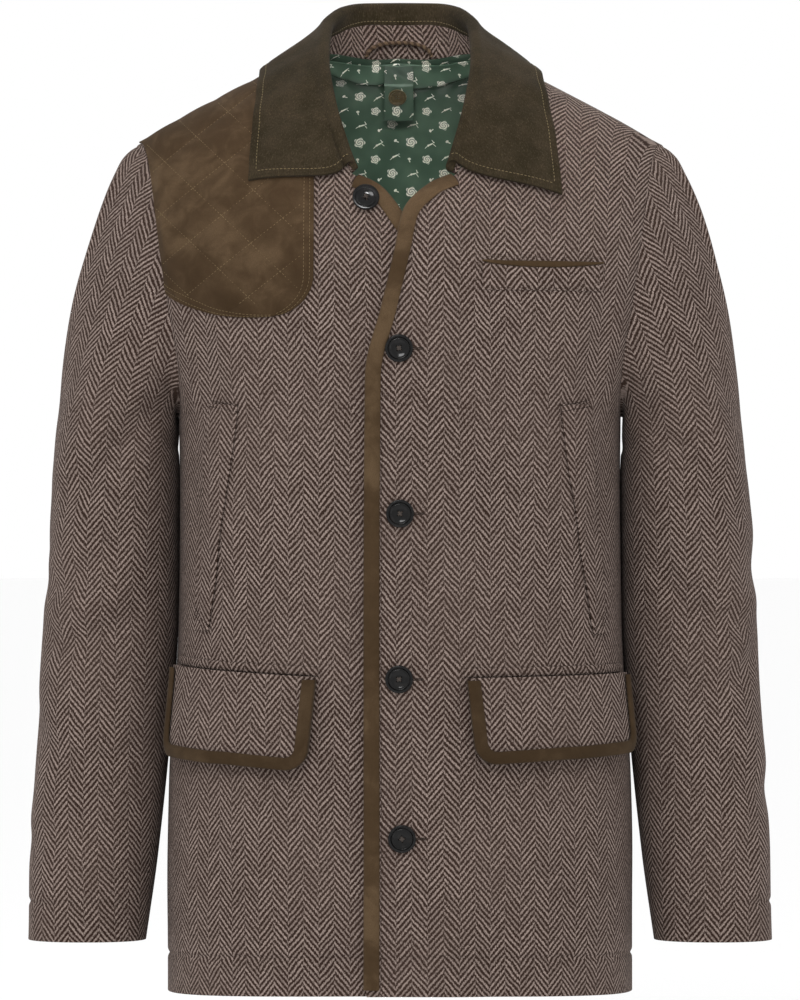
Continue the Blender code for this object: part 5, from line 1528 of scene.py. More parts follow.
# %% Patch
PATCH_INNER, PATCH_CORNER, PATCH_FROM_NECK = 0.0712, 0.034, 0.007
PATCH_LOW_LEVEL, PATCH_LOW_RISE, PATCH_TOP_LEVEL = 1.120, 0.092, 1.970
QUILT_NODE = 0.1725, -0.0925
QUILT_STEP_DOWN, QUILT_STEP_UP = (-0.0246, -0.0238), (-0.0266, 0.0207)
QUILT_HEIGHT, QUILT_FULLNESS, PATCH_FROM_ARMHOLE = 0.0016, 0.5, 0.6
PATCH_SEAMS, PATCH_SEAM_DEPTH, PATCH_SEAM_WIDTH = (0.0034, 0.0085), 0.00030, 0.0009
RIM_CALM, RIM_PUFF, RIM_PUFF_AT, RIM_PUFF_WIDTH = 0.011, 0.00045, 0.0060, 0.0022
PATCH_ROWS, PATCH_COLUMNS, PATCH_CROWDING = 150, 150, 1.25


def quilt_counts(x, z):
    """How many diamonds a place is from the node, along the two sets of lines."""
    down, up = QUILT_STEP_DOWN, QUILT_STEP_UP
    dx, dz = x - QUILT_NODE[0], z - QUILT_NODE[1]
    area = down[0] * up[1] - down[1] * up[0]
    return (dx * up[1] - dz * up[0]) / area, (dz * down[0] - dx * down[1]) / area


def quilt_relief(x, z):
    """0 on a stitched line, 1 in the middle of a diamond."""
    i, j = quilt_counts(x, z)
    return np.abs(np.sin(np.pi * i) * np.sin(np.pi * j)) ** QUILT_FULLNESS


def patch_place(p, q):
    """Angle and level of places of the patch: p runs to the armhole, q up to the shoulder."""
    low = PATCH_LOW_LEVEL + PATCH_LOW_RISE * p**2
    level = low + (PATCH_TOP_LEVEL - low) * q
    along_inner = PATCH_LOW_LEVEL + (PATCH_TOP_LEVEL - PATCH_LOW_LEVEL) * q
    height = ring_height(along_inner) - ring_height(PATCH_LOW_LEVEL)
    under = np.clip(PATCH_CORNER - height, 0, PATCH_CORNER)
    rounding = PATCH_CORNER - np.sqrt(PATCH_CORNER**2 - under**2)
    inner = PATCH_INNER + np.where(height < PATCH_CORNER, rounding, 0)
    inner = np.maximum(inner, edge_reader[-1](level) + PATCH_FROM_NECK)
    start, end = angle_at(inner, level), armhole_angle(-1, level) - PATCH_FROM_ARMHOLE
    return start + (end - start) * p, level


q, p = np.linspace(0, 1, PATCH_ROWS + 1) ** PATCH_CROWDING, np.linspace(0, 1, PATCH_COLUMNS + 1)
q, p = np.meshgrid(q, p, indexing="ij")
patch_angle, patch_level = patch_place(p, q)
plain = worn_front(-1, patch_angle, patch_level)
from_inner, from_low = way_along(plain, 1), way_along(plain, 0)
from_sides = np.minimum(from_inner, from_inner[:, -1:] - from_inner)
from_rim = np.minimum(from_sides, np.minimum(from_low, from_low[-1:] - from_low))
free_rim = np.minimum(from_inner, from_low)
puff = RIM_PUFF * bump(free_rim - RIM_PUFF_AT, RIM_PUFF_WIDTH)
groove = PATCH_SEAM_DEPTH * sum(
    bump(free_rim - seam_in, PATCH_SEAM_WIDTH) for seam_in in PATCH_SEAMS
)
relief = QUILT_HEIGHT * step(from_rim / RIM_CALM) * quilt_relief(
    -plain[..., 0], plain[..., 2]
) + puff - groove
patch_outer = worn_front(-1, patch_angle, patch_level, LAID_GAP + SUEDE + relief)
patch_inner = worn_front(-1, patch_angle, patch_level, LAID_GAP)
place = flat_place(-1, patch_angle, patch_level)
patch = cloth_wall(
    "quilted_patch", patch_outer, patch_inner, place, (suede,), "suede",
    rim_round=0.0006, replaces=("shoulder_patch",),
)
declare_sheet(patch, 0.185, 0.230)

# %% [markdown]
# ## Flap pockets
#
# A flap is a small panel with rounded corners, bound with suede on its three free sides
# and sewn in under a narrow strip of the jacket's cloth. It hangs a few millimetres off
# the front, more at its foot. Its outline is worked out down each side and round to the
# middle of the foot, and rows of points join the two sides.

# %% Shape of the flaps
Flap = namedtuple("Flap", "name side inner outer top_inner top_outer low_inner low_outer")
FLAPS = (
    Flap("left", 1, 0.0535, 0.2260, -0.5010, -0.4980, -0.5730, -0.5660),
    Flap("right", -1, 0.0680, 0.2290, -0.5000, -0.4915, -0.5780, -0.5690),
)
STAND_OFF, TIP_OFF, SPLAY, OUTER_SPLAY = 0.0018, 0.0045, 0.0056, 0.0025
CORNER, CORNER_START, CORNER_END, POINT_ASIDE = 0.019, 0.5, 0.8, 0.004
FLAP_RIM_GAP, FLAP_BINDING_START = 0.0013, 0.02
FLAP_ROWS, FLAP_COLUMNS, FLAP_STATIONS = 54, 90, 96
FLAP_SWAY, FLAP_WEAVE_SHIFT = 0.0007, (0.0052, 0.0018)


def flap_side(flap, share, inset, toward):
    """Across and height of points down one side of a flap and round to the middle of its foot."""
    inner, outer = flap.inner + inset, flap.outer - inset
    if toward > 0:
        start, top, low, splay = inner, flap.top_inner, flap.low_inner + inset, SPLAY
    else:
        start, top, low, splay = outer, flap.top_outer, flap.low_outer + inset, -OUTER_SPLAY
    corner = CORNER - inset
    down = np.clip(share / CORNER_START, 0, 1)
    turn = np.radians(90) * np.clip((share - CORNER_START) / (CORNER_END - CORNER_START), 0, 1)
    along = np.clip((share - CORNER_END) / (1 - CORNER_END), 0, 1)
    middle = (inner + outer) / 2 - toward * POINT_ASIDE
    foot = (flap.low_inner + flap.low_outer) / 2 + inset
    from_corner = start + splay + toward * corner
    side = start + splay * down, top - (top - low - corner) * down
    bend = start + splay + toward * corner * (1 - np.cos(turn)), low + corner * (1 - np.sin(turn))
    last = from_corner + (middle - from_corner) * along, low + (foot - low) * along
    return tuple(
        np.where(share < CORNER_START, a, np.where(share < CORNER_END, b, c))
        for a, b, c in zip(side, bend, last)
    )


def flap_point(flap, across, height, out):
    """Points over a flap's inner face."""
    depth = (flap.top_inner - height) / (flap.top_inner - flap.low_inner)
    off = STAND_OFF + SUEDE + FLAP_RIM_GAP + TIP_OFF * np.clip(depth, 0, None)
    off = off + FLAP_SWAY * np.sin(across * 55 + 2 * flap.side) * np.clip(depth, 0, 1)
    return worn_girth(flap.side, across, height, off + out)


print("flaps:", [round(flap.outer - flap.inner, 3) for flap in FLAPS], "m wide")

# %% Flaps and their bindings
far, off, far_in, off_in = binding_section(1.0, FLAP_RIM_GAP, scale=0.0)
for flap in FLAPS:
    inset = SUEDE + 2 * LAID_GAP
    share = np.linspace(0, 1, FLAP_ROWS + 1)
    (x0, z0), (x1, z1) = flap_side(flap, share, inset, 1), flap_side(flap, share, inset, -1)
    s = np.linspace(0, 1, FLAP_COLUMNS + 1)[None, :]
    x, z = x0[:, None] + (x1 - x0)[:, None] * s, z0[:, None] + (z1 - z0)[:, None] * s
    outer, inner = flap_point(flap, x, z, TWEED), flap_point(flap, x, z, 0.0)
    place = np.stack([x * flap.side, z], -1) + FLAP_WEAVE_SHIFT
    cloth = cloth_wall(
        f"tweed_flap_{flap.name}", outer, inner, place, (tweed,), "tweed",
        rim_round=0.0006, replaces=(f"flap_{flap.name}",),
    )
    declare_sheet(cloth, 0.180, 0.090)
    shares = FLAP_BINDING_START + (1 - FLAP_BINDING_START) * np.linspace(0, 1, FLAP_STATIONS + 1)
    edge, inside = (
        np.concatenate([
            np.stack(flap_side(flap, shares, within, 1), -1),
            np.stack(flap_side(flap, shares[-2::-1], within, -1), -1),
        ])
        for within in (0, BINDING_WIDTH)
    )
    grids = []
    for reach, lift in ((far, off), (far_in, off_in)):
        spots = edge[:, None] + (inside - edge)[:, None] * reach[None, :, None]
        x, z = spots[..., 0], spots[..., 1]
        grids.append(flap_point(flap, x, z, TWEED + lift[None, :] + 0 * x))
    place = grid_place(grids[0], 1)
    binding = cloth_wall(
        f"suede_flap_{flap.name}", *grids, place, (flap_suede,), "suede",
        rim_round=0.0005, replaces=(f"flap_binding_{flap.name}",),
    )
    declare_sheet(binding, 0.036, 0.340)

# %% [markdown]
# ## Strips and welts
#
# The small parts of the pockets are strips of cloth that lie flat on a front: the strip
# over each flap, the welt and the piping of the breast pocket, and the long welts of the
# slanting hand pockets. One helper lays a strip between two lines and rounds it a little.
# The breast welt is cut with its weave turned over, so its arrows meet the front's.

# %% Strip helper
WELT_DEPTH, WELT_THICK, WELT_LIFT, WELT_LONGER = 0.0075, 0.0018, 0.0006, 0.001
BREAST_ACROSS, BREAST_TOP, BREAST_DROP = (0.0675, 0.1690), -0.1545, 0.0245
PIPING, PIPING_THICK, PIPING_END, PIPING_CURVE = 0.0052, 0.0018, 0.25, 0.7
BREAST_THICK, STRIP_ROUNDING = 0.0010, 0.6


def lay_strip(name, node, spot, side, xs, top, low, thick, finish, slot, place_of, rows, round_top):
    """A strip between two lines of a front; xs is where its columns stand."""
    s = np.linspace(0, 1, rows + 1)[:, None]
    x = np.broadcast_to(xs, (rows + 1, len(xs)))
    z = top(x) + (low(x) - top(x)) * s
    plump = round_top * thick * (np.sin(np.pi * s) ** STRIP_ROUNDING - 1)
    outer = spot(side, x, z, LAID_GAP + thick + plump + 0 * x)
    inner = spot(side, x, z, LAID_GAP + 0 * x)
    piece = cloth_wall(
        name, outer, inner, place_of(x, z), (finish,), slot, rim_round=0.0004, replaces=(node,)
    )
    width, length = float(way_along(outer, 0)[-1].max()), float(way_along(outer, 1)[:, -1].max())
    declare_sheet(piece, width, length)


def weave_as_front(side):
    return lambda x, z: np.stack([x + WEAVE_SHIFT[side], z], -1)


for flap in FLAPS:
    slope = (flap.top_outer - flap.top_inner) / (flap.outer - flap.inner)
    low = lambda x, flap=flap, slope=slope: flap.top_inner + slope * (x - flap.inner) + WELT_LIFT
    top = lambda x, low=low: low(x) + WELT_DEPTH
    xs = np.linspace(flap.inner - WELT_LONGER, flap.outer + WELT_LONGER, 91)
    lay_strip(
        f"tweed_strip_{flap.name}", f"flap_welt_{flap.name}", worn_girth, flap.side, xs, top, low,
        WELT_THICK, tweed, "tweed", weave_as_front(flap.side), rows=10, round_top=0.5,
    )

# %% Breast pocket
start, end = BREAST_ACROSS


def piping_low(x):
    share = np.clip((x - start) / (end - start), 0, 1)
    fullness = np.sin(np.pi * share) ** PIPING_CURVE
    return BREAST_TOP - PIPING * (PIPING_END + (1 - PIPING_END) * fullness)


xs = start + (end - start) * (1 - np.cos(np.linspace(0, np.pi, 81))) / 2
lay_strip(
    "suede_piping", "breast_piping", worn_view, 1, xs, lambda x: BREAST_TOP + 0 * x, piping_low,
    PIPING_THICK, binding_suede, "suede", lambda x, z: np.stack([x, z], -1), rows=8, round_top=0.6,
)
lay_strip(
    "tweed_breast_welt", "breast_welt", worn_view, 1, xs, lambda x: piping_low(x) - LAID_GAP,
    lambda x: BREAST_TOP - BREAST_DROP + 0 * x, BREAST_THICK, tweed, "tweed",
    lambda x, z: np.stack([x + WEAVE_SHIFT[1], -z + 0.002], -1), rows=18, round_top=0.4,
)

# %% Hand pockets
HandWelt = namedtuple("HandWelt", "name height edge back")
HAND_WELTS = {
    1: (
        HandWelt("foot", -0.4650, 0.1760, 0.1980),
        HandWelt("lower", -0.4200, 0.1660, 0.1920),
        HandWelt("middle", -0.3680, 0.1555, 0.1860),
        HandWelt("upper", -0.3200, 0.1450, 0.1790),
        HandWelt("top", -0.2730, 0.1385, 0.1720),
    ),
    -1: (
        HandWelt("foot", -0.4620, 0.1740, 0.1960),
        HandWelt("lower", -0.4200, 0.1660, 0.1915),
        HandWelt("middle", -0.3680, 0.1560, 0.1850),
        HandWelt("upper", -0.3200, 0.1470, 0.1790),
        HandWelt("top", -0.2730, 0.1400, 0.1730),
    ),
}
HAND_THICK, HAND_OFF = 0.0012, 0.0009
for side, name in ((1, "left"), (-1, "right")):
    table = HAND_WELTS[side]
    z = np.linspace(table[0].height, table[-1].height, 81)[:, None]
    edge, behind = reader(table, "height", "edge")(z), reader(table, "height", "back")(z)
    s = np.linspace(0, 1, 17)[None, :]
    x, z = edge + (behind - edge) * s, z + 0 * s
    plump = 0.25 * HAND_THICK * (1 - np.exp(-s / 0.12)) - 0.45 * HAND_THICK * s**2
    outer = worn_girth(side, x, z, HAND_OFF + HAND_THICK + plump)
    inner = worn_girth(side, x, z, HAND_OFF + 0 * x)
    welt = cloth_wall(
        f"tweed_hand_welt_{name}", outer, inner, weave_as_front(side)(x, z), (tweed,), "tweed",
        rim_round=0.0004, replaces=(f"hand_welt_{name}",),
    )
    declare_sheet(welt, 0.034, 0.200)

# %% [markdown]
# ## Lining, tab and loop in the neck
#
# Inside the neck the back is lined with satin. A fold of it hangs over just below the
# seam, and small wrinkles run down from the fold. A buttoned tab lies in the middle, and
# above it a loop of twisted cord hangs the jacket on a hook.

# %% Lining
LINING_LOW_LEVEL, LINING_HALF_ANGLE = 1.10, 44.0
LINING_GAP, LINING_RIDGE, LINING_RIDGE_REACH, LINING_BELOW_SEAM = 0.0022, 0.0050, 0.06, 0.012
LINING_ROWS, LINING_COLUMNS, LINING_CROWDING = 120, 132, 1.4
FOLD_AT, FOLD_SWAY, FOLD_RIPPLE, FOLD_FALL, FOLD_SHOWN = 0.105, 0.012, 0.007, 0.27, 0.80
GATHER_AT, GATHER_REACH, WRINKLE_FROM, WRINKLE_HIGH, CRUMPLE_HIGH = 0.10, 0.07, 0.11, 0.0018, 0.0005
Wrinkle = namedtuple("Wrinkle", "at lean width height")
LINING_WRINKLES = (
    Wrinkle(-0.62, 0.5, 0.035, 1.0), Wrinkle(-0.40, 0.2, 0.028, 0.7),
    Wrinkle(-0.30, 0.9, 0.032, 1.0), Wrinkle(0.20, -0.3, 0.030, 0.9),
    Wrinkle(0.34, -0.8, 0.030, 1.0), Wrinkle(0.47, -0.2, 0.026, 0.8),
    Wrinkle(0.66, -0.6, 0.036, 1.0), Wrinkle(-0.12, 0.3, 0.024, 0.6),
)


def lining_place(share, down):
    """Angle and level of places on the lining: across from -1 to 1, and down from the seam."""
    angle = share * LINING_HALF_ANGLE
    top = neckline_level(angle / SHOULDER_ANGLE) - LINING_BELOW_SEAM
    return angle, top + (LINING_LOW_LEVEL - top) * down


down, share = np.linspace(0, 1, LINING_ROWS + 1), np.linspace(-1, 1, LINING_COLUMNS + 1)
down, share = np.meshgrid(down**LINING_CROWDING, share, indexing="ij")
lining_angle, lining_level = lining_place(share, down)
fold_at = FOLD_AT + FOLD_SWAY * np.sin(share * 9 + 0.6) + FOLD_RIPPLE * np.sin(share * 23)
below_fold = (down - fold_at) / LINING_RIDGE_REACH
hump = np.where(below_fold < 0, bump(below_fold, 1), bump(below_fold, FOLD_FALL))
ridge = LINING_RIDGE * hump * (1 - share**2)
wrinkles = sum(
    wrinkle.height * bump(share - wrinkle.at - wrinkle.lean * (down - WRINKLE_FROM), wrinkle.width)
    for wrinkle in LINING_WRINKLES
)
gathered, inside_edge = bump(down - GATHER_AT, GATHER_REACH), 1 - share**4
crumple = WRINKLE_HIGH * wrinkles * gathered * inside_edge
crumple = crumple + CRUMPLE_HIGH * np.sin(share * 31 + 5 * down) * gathered * inside_edge
off = ridge * FOLD_SHOWN + crumple
lining_front = back_point(lining_angle, lining_level, -TWEED - LINING_GAP - off - LINING)
lining_back = back_point(lining_angle, lining_level, -TWEED - LINING_GAP - off)
place = flat_place(1, lining_angle, lining_level)
lining = cloth_wall(
    "satin_lining", lining_front, lining_back, place, (satin,), "printed_lining",
    rim_round=0.0002, replaces=("lining_back",),
)
declare_sheet(lining, 0.240, 0.300)

# %% Tab
TAB_LEFT, TAB_RIGHT, TAB_TOP, TAB_LOW = -0.0153, 0.0130, 0.0290, -0.0185
TAB_CLEAR = LINING_GAP + LINING + LINING_RIDGE + LAID_GAP
TAB_FOLD, TAB_LAP, LAP_REACH, TAB_BUCKLE = 0.0125, 0.0016, 0.0012, 0.0005


def inside_back(x, z, out):
    """Points before the inside of the back, placed by where they show from the front."""
    level = level_at(x, z)
    angle = angle_at(x, level)
    out = np.asarray(out, float) + 0.0 * np.asarray(x, float)
    return body_point(1, angle, level) - body_normal(1, angle, level) * (TWEED + out)[..., None]


z, x = np.linspace(TAB_TOP, TAB_LOW, 61), np.linspace(TAB_LEFT, TAB_RIGHT, 33)
z, x = np.meshgrid(z, x, indexing="ij")
side_share = (x - TAB_LEFT) / (TAB_RIGHT - TAB_LEFT)
lap = TAB_LAP * (1 - step((z - TAB_FOLD + LAP_REACH / 2) / LAP_REACH))
buckle = TAB_BUCKLE * np.sin(side_share * 6 + z * 400) * np.sin(np.pi * side_share)
bend = lap + buckle + TAB_BUCKLE * np.sin(np.pi * side_share)
place = np.stack([x + 0.013, z + 0.021], -1)
tab = cloth_wall(
    "satin_tab", inside_back(x, z, TAB_CLEAR + LINING + bend), inside_back(x, z, TAB_CLEAR + bend),
    place, (satin,), "printed_lining", rim_round=0.0003, replaces=("lining_tab",),
)
declare_sheet(tab, 0.0300, 0.0480)

# %% [markdown]
# ### Hanger loop
#
# Two yarns twisted together make a cord with a spiral of soft hollows. The tube below has
# a round section whose radius swells twice round it, and the swelling turns along the way.

# %% Hanger loop
LOOP_DIAMETER, LOOP_ENDS, LOOP_FOOT, LOOP_TOP = 0.0036, (-0.0285, 0.0268), 0.0270, 0.0395
LOOP_STAND_OFF, LOOP_FULLNESS, LOOP_TWIST = 0.0050, 2.6, 0.0028
LOOP_SECTIONS, LOOP_SIDES, HOLLOW, SWELL, END_SIZE = 151, 24, 0.86, 0.16, 0.75


def loop_point(t):
    """The loop's centre line, from end to end."""
    x = LOOP_ENDS[0] + (LOOP_ENDS[1] - LOOP_ENDS[0]) * t
    share = np.abs(2 * t - 1)
    z = LOOP_FOOT + (LOOP_TOP - LOOP_FOOT) * np.sqrt(np.clip(1 - share**LOOP_FULLNESS, 0, None))
    inner = neck_seam(SHOULDER_ALONG * np.abs(x) / NECK_HALF, 1, -TWEED)
    return np.stack([x, inner[..., 1] - LOOP_STAND_OFF, z], -1)


def cord_material(name):
    web = Web(name)
    place = web.add("ShaderNodeUVMap", uv_map="cloth")
    turn, along, _ = web.parts(place)
    twist = web.sum("MULTIPLY_ADD", turn, 1.0, web.sum("DIVIDE", along, -LOOP_TWIST * 2))
    wave = web.sum("SINE", web.sum("MULTIPLY", twist, 2 * math.pi))
    fibre = web.noise(place, 900.0, 2.0)
    colour = web.mix(web.between(wave, -0.25, 0.25), dye(60, 46, 36), dye(104, 86, 68))
    colour = web.mix(web.between(fibre, 0.3, 0.7, 0.0, 0.4), colour, dye(60, 46, 34))
    return web.paint(colour, 0.8, Sheen_Weight=0.04, Specular_IOR_Level=0.10)


def line_at(at, ways, line):
    """Values read off a line at the given ways along it."""
    return np.stack([np.interp(at, ways, line[:, i]) for i in range(3)], -1)


cord_look = cord_material("twisted_cord")
dense = loop_point((1 - np.cos(np.linspace(0, np.pi, 1201))) / 2)
ways = line_ways(dense)
LOOP_LENGTH = float(ways[-1])
even = np.linspace(0, LOOP_LENGTH, LOOP_SECTIONS)
centre = line_at(even, ways, dense)
tangent = unit(np.gradient(centre, axis=0))
side_way = unit(np.cross(tangent, np.array([0.0, 1.0, 0.0])))
other_way = np.cross(tangent, side_way)
turn = np.linspace(0, 2 * np.pi, LOOP_SIDES + 1)[:-1]
swell = HOLLOW + SWELL * np.abs(np.cos(turn[None, :] - np.pi * even[:, None] / (LOOP_TWIST * 2)))
radius = LOOP_DIAMETER / 2 * swell
radius[[0, -1]] *= END_SIZE
c, s = np.cos(turn)[None, :, None], np.sin(turn)[None, :, None]
tube = centre[:, None] + radius[..., None] * (side_way[:, None] * c + other_way[:, None] * s)
mesh = bpy.data.meshes.new("hanger_cord")
quads, row, column = grid_faces(LOOP_SECTIONS, LOOP_SIDES, True)
last = (LOOP_SECTIONS - 1) * LOOP_SIDES
caps = [list(range(LOOP_SIDES - 1, -1, -1)), list(range(last, last + LOOP_SIDES))]
mesh.from_pydata(tube.reshape(-1, 3).tolist(), [], quads.tolist() + caps)
layer = mesh.uv_layers.new(name="cloth")
corners = ((column, row), (column + 1, row), (column + 1, row + 1), (column, row + 1))
spots = np.stack([np.stack([a / LOOP_SIDES, even[b]], -1) for a, b in corners], 1).reshape(-1, 2)
spots = np.concatenate([spots, np.zeros((2 * LOOP_SIDES, 2))])
layer.data.foreach_set("uv", spots.astype(np.float32).ravel())
loop = outward_piece(mesh, cord_look, ("hanger_loop",))
print("loop:", round(LOOP_LENGTH * 1000, 1), "mm of cord")

# %% [markdown]
# ## Horn buttons
#
# A coat button is turned from horn: a disc with a rounded rim, a ring cut inside it, a
# dished middle and four holes. It is modelled once by hand-like steps: a cylinder, insets
# that are pushed down, a bevel, and four drilled holes. Threads cross the holes.

# %% Horn material
def horn_material(name, dark, light, rough):
    web = Web(name)
    place = web.add("ShaderNodeTexCoord", output=3)
    smoke = web.noise(place, 130.0, 3.0, 0.5, Distortion=1.5)
    colour = web.mix(web.between(smoke, 0.45, 0.75), dark, light)
    return web.paint(colour, rough, Specular_IOR_Level=0.22)


dark_horn = horn_material("dark_horn", dye(8, 8, 8), dye(22, 20, 19), 0.11)
olive_horn = horn_material("olive_horn", dye(84, 74, 52), dye(108, 96, 70), 0.30)
web = Web("dark_thread")
fibre = web.noise(web.add("ShaderNodeTexCoord", output=3), 1800.0)
dark_thread = web.paint(web.mix(fibre, dye(44, 37, 33), dye(70, 60, 52)), 0.7)

# %% Button model
BUTTON_RADIUS, BUTTON_THICK, HOLE_OUT, HOLE_RADIUS = 0.0115, 0.0030, 0.0022, 0.00085
BUTTON_FLOOR, BUTTON_SIDES, BUTTON_BEVEL = 0.0006, 56, 0.0007
Inset = namedtuple("Inset", "inward down")
BUTTON_INSETS = (
    Inset(0.0020, 0.0), Inset(0.0007, -0.0006), Inset(0.0006, -0.0007), Inset(0.0007, 0.0006),
    Inset(0.0006, 0.0003), Inset(0.0016, -0.0004), Inset(0.0016, -0.0002),
)


def turn_copy(degrees):
    """Doubles all that is shown and turns the copy round the middle of the button."""
    bpy.ops.mesh.select_all(action="SELECT")
    bpy.ops.mesh.duplicate()
    bpy.ops.transform.rotate(
        value=math.radians(degrees), orient_axis="Z", center_override=(0, 0, 0)
    )


bpy.ops.object.select_all(action="DESELECT")
bpy.ops.mesh.primitive_cylinder_add(
    vertices=BUTTON_SIDES, radius=BUTTON_RADIUS, depth=BUTTON_THICK,
    location=(0, 0, BUTTON_FLOOR + BUTTON_THICK / 2),
)
model = bpy.context.object
model.name = "button_model"
bpy.ops.object.mode_set(mode="EDIT")
bpy.ops.mesh.select_mode(type="FACE")
bpy.ops.mesh.select_all(action="DESELECT")
shape = bmesh.from_edit_mesh(model.data)
for face in shape.faces:
    face.select = face.normal.z > 0.9
bmesh.update_edit_mesh(model.data)
for inset in BUTTON_INSETS:
    bpy.ops.mesh.inset(thickness=inset.inward, depth=0.0)
    bpy.ops.transform.translate(value=(0, 0, inset.down))
bpy.ops.object.mode_set(mode="OBJECT")
bevel = model.modifiers.new("rim", "BEVEL")
bevel.width, bevel.segments = BUTTON_BEVEL, 3
bevel.limit_method, bevel.angle_limit = "ANGLE", math.radians(60)
apply_modifiers(model)
bpy.ops.object.select_all(action="DESELECT")
bpy.ops.mesh.primitive_cylinder_add(
    vertices=16, radius=HOLE_RADIUS, depth=0.012, location=(HOLE_OUT, 0, 0.002)
)
drill = bpy.context.object
bpy.ops.object.transform_apply(location=True)
bpy.ops.object.mode_set(mode="EDIT")
turn_copy(180)
turn_copy(90)
bpy.ops.object.mode_set(mode="OBJECT")
cut = model.modifiers.new("holes", "BOOLEAN")
cut.operation, cut.object, cut.solver = "DIFFERENCE", drill, "EXACT"
apply_modifiers(model)
bpy.data.objects.remove(drill, do_unlink=True)
bpy.ops.object.select_all(action="DESELECT")
model.select_set(True)
bpy.context.view_layer.objects.active = model
bpy.ops.object.shade_smooth_by_angle(angle=math.radians(35))
print("button model:", len(model.data.polygons), "faces")

# %% Threads of a button
bpy.ops.object.select_all(action="DESELECT")
THREAD_RADIUS, THREAD_SIDE, THREAD_RISE, THREAD_DIVE = 0.00042, 0.0004, 0.0026, 0.0009
bpy.ops.mesh.primitive_cylinder_add(
    vertices=8, radius=THREAD_RADIUS, depth=2 * HOLE_OUT, location=(0, 0, 0),
    rotation=(0, math.radians(90), 0),
)
threads = bpy.context.object
threads.name = "thread_model"
bpy.ops.object.transform_apply(location=True, rotation=True)
bpy.ops.object.mode_set(mode="EDIT")
bpy.ops.mesh.select_all(action="SELECT")
bpy.ops.mesh.subdivide(number_cuts=3)
bpy.ops.transform.translate(value=(0, THREAD_SIDE, THREAD_RISE))
bpy.ops.mesh.duplicate()
bpy.ops.transform.translate(value=(0, -2 * THREAD_SIDE, 0.0001))
turn_copy(90)
bpy.ops.transform.translate(value=(0, 0, 0.0004))
bpy.ops.object.mode_set(mode="OBJECT")
for vertex in threads.data.vertices:
    reach = math.hypot(vertex.co.x, vertex.co.y) / HOLE_OUT
    vertex.co.z -= THREAD_DIVE * reach**4
bpy.ops.object.shade_smooth()
print("threads:", len(threads.data.polygons), "faces")

# %% Buttons in their places
Button = namedtuple("Button", "name side across height radius tilt")
BUTTONS = (
    Button("button_1", -1, 0.0278, -0.1035, 0.0112, 0.16),
    Button("button_2", 1, -0.0008, -0.2280, 0.0115, 0.0),
    Button("button_3", 1, 0.0000, -0.3645, 0.0115, 0.0),
    Button("button_4", 1, -0.0008, -0.5020, 0.0115, 0.0),
    Button("button_5", 1, 0.0016, -0.6350, 0.0115, 0.0),
)
TAB_BUTTON = Button("tab_button", 0, -0.0025, 0.0025, 0.0078, 0.0)
BUTTON_LIFT, TILT_LIFT, TILT_UP, TAB_BUTTON_LIFT, TAB_BULGE = 0.0030, 1.5, 0.2, 0.0009, 0.0018
THREAD_TURNS = {
    "button_1": 20, "button_2": 52, "button_3": 38, "button_4": 47, "button_5": 12,
    "tab_button": 45,
}


def place_copy(source, name, centre, normal, radius, turn, look, replaces=()):
    """A copy of a model with its own mesh, laid on a place of the cloth."""
    right = unit(np.cross([0.0, 0.0, 1.0], normal))
    up = np.cross(normal, right)
    basis = Matrix((right, up, normal)).transposed().to_4x4()
    spin, scale = Matrix.Rotation(math.radians(turn), 4, "Z"), radius / BUTTON_RADIUS
    mesh = source.data.copy()
    mesh.transform(Matrix.Translation(centre) @ basis @ spin @ Matrix.Scale(scale, 4))
    mesh.materials.clear()
    mesh.materials.append(look)
    piece = bpy.data.objects.new(name, mesh)
    bpy.context.scene.collection.objects.link(piece)
    return finish_piece(piece, replaces)


for button in BUTTONS:
    lift = BUTTON_LIFT + TILT_LIFT * abs(button.tilt) * button.radius
    spot = button.side, np.array(button.across), np.array(button.height)
    at, under = view_point(*spot, lift), view_point(*spot, 0.0)
    normal = unit(unit(at - under) + np.array([button.tilt, 0, TILT_UP * button.tilt]))
    turn = THREAD_TURNS[button.name]
    for source, kind, look, replaced in (
        (model, "horn", dark_horn, (button.name,)), (threads, "thread", dark_thread, ()),
    ):
        name = f"{kind}_{button.name}"
        place_copy(source, name, at, normal, button.radius, turn, look, replaced)
spot = np.array(TAB_BUTTON.across), np.array(TAB_BUTTON.height)
at = inside_back(*spot, TAB_CLEAR + LINING + TAB_BUTTON_LIFT + TAB_BULGE)
normal = unit(at - inside_back(*spot, 0.0))
turn = THREAD_TURNS[TAB_BUTTON.name]
place_copy(
    model, "horn_tab_button", at, normal, TAB_BUTTON.radius, turn, olive_horn,
    (TAB_BUTTON.name,),
)
for used in (model, threads):
    bpy.data.objects.remove(used, do_unlink=True)
print("buttons:", len(BUTTONS) + 1)

# %% [markdown]
# ## Stitches
#
# Topstitching is a row of short threads that dip into the cloth. One small rounded thread
# is worked out once and repeated along each row. All the stitches of one seam are joined
# in one mesh, which keeps the scene light.

# %% Stitch helper
Stitch = namedtuple("Stitch", "length gap thick")
StitchRing = namedtuple("StitchRing", "share size sink")
STITCH_SIDES, STITCH_SUNK, PRESSED, SIDE_BY_SIDE = 5, 0.15, 0.8, 1.05
STITCH_RINGS = (
    StitchRing(-0.5, 0.35, -0.35), StitchRing(-0.28, 0.95, 0.0), StitchRing(0.28, 0.95, 0.0),
    StitchRing(0.5, 0.35, -0.35),
)
stitch_turns = 2 * np.pi * np.arange(STITCH_SIDES) / STITCH_SIDES
stitch_quads, _, _ = grid_faces(len(STITCH_RINGS), STITCH_SIDES, True)


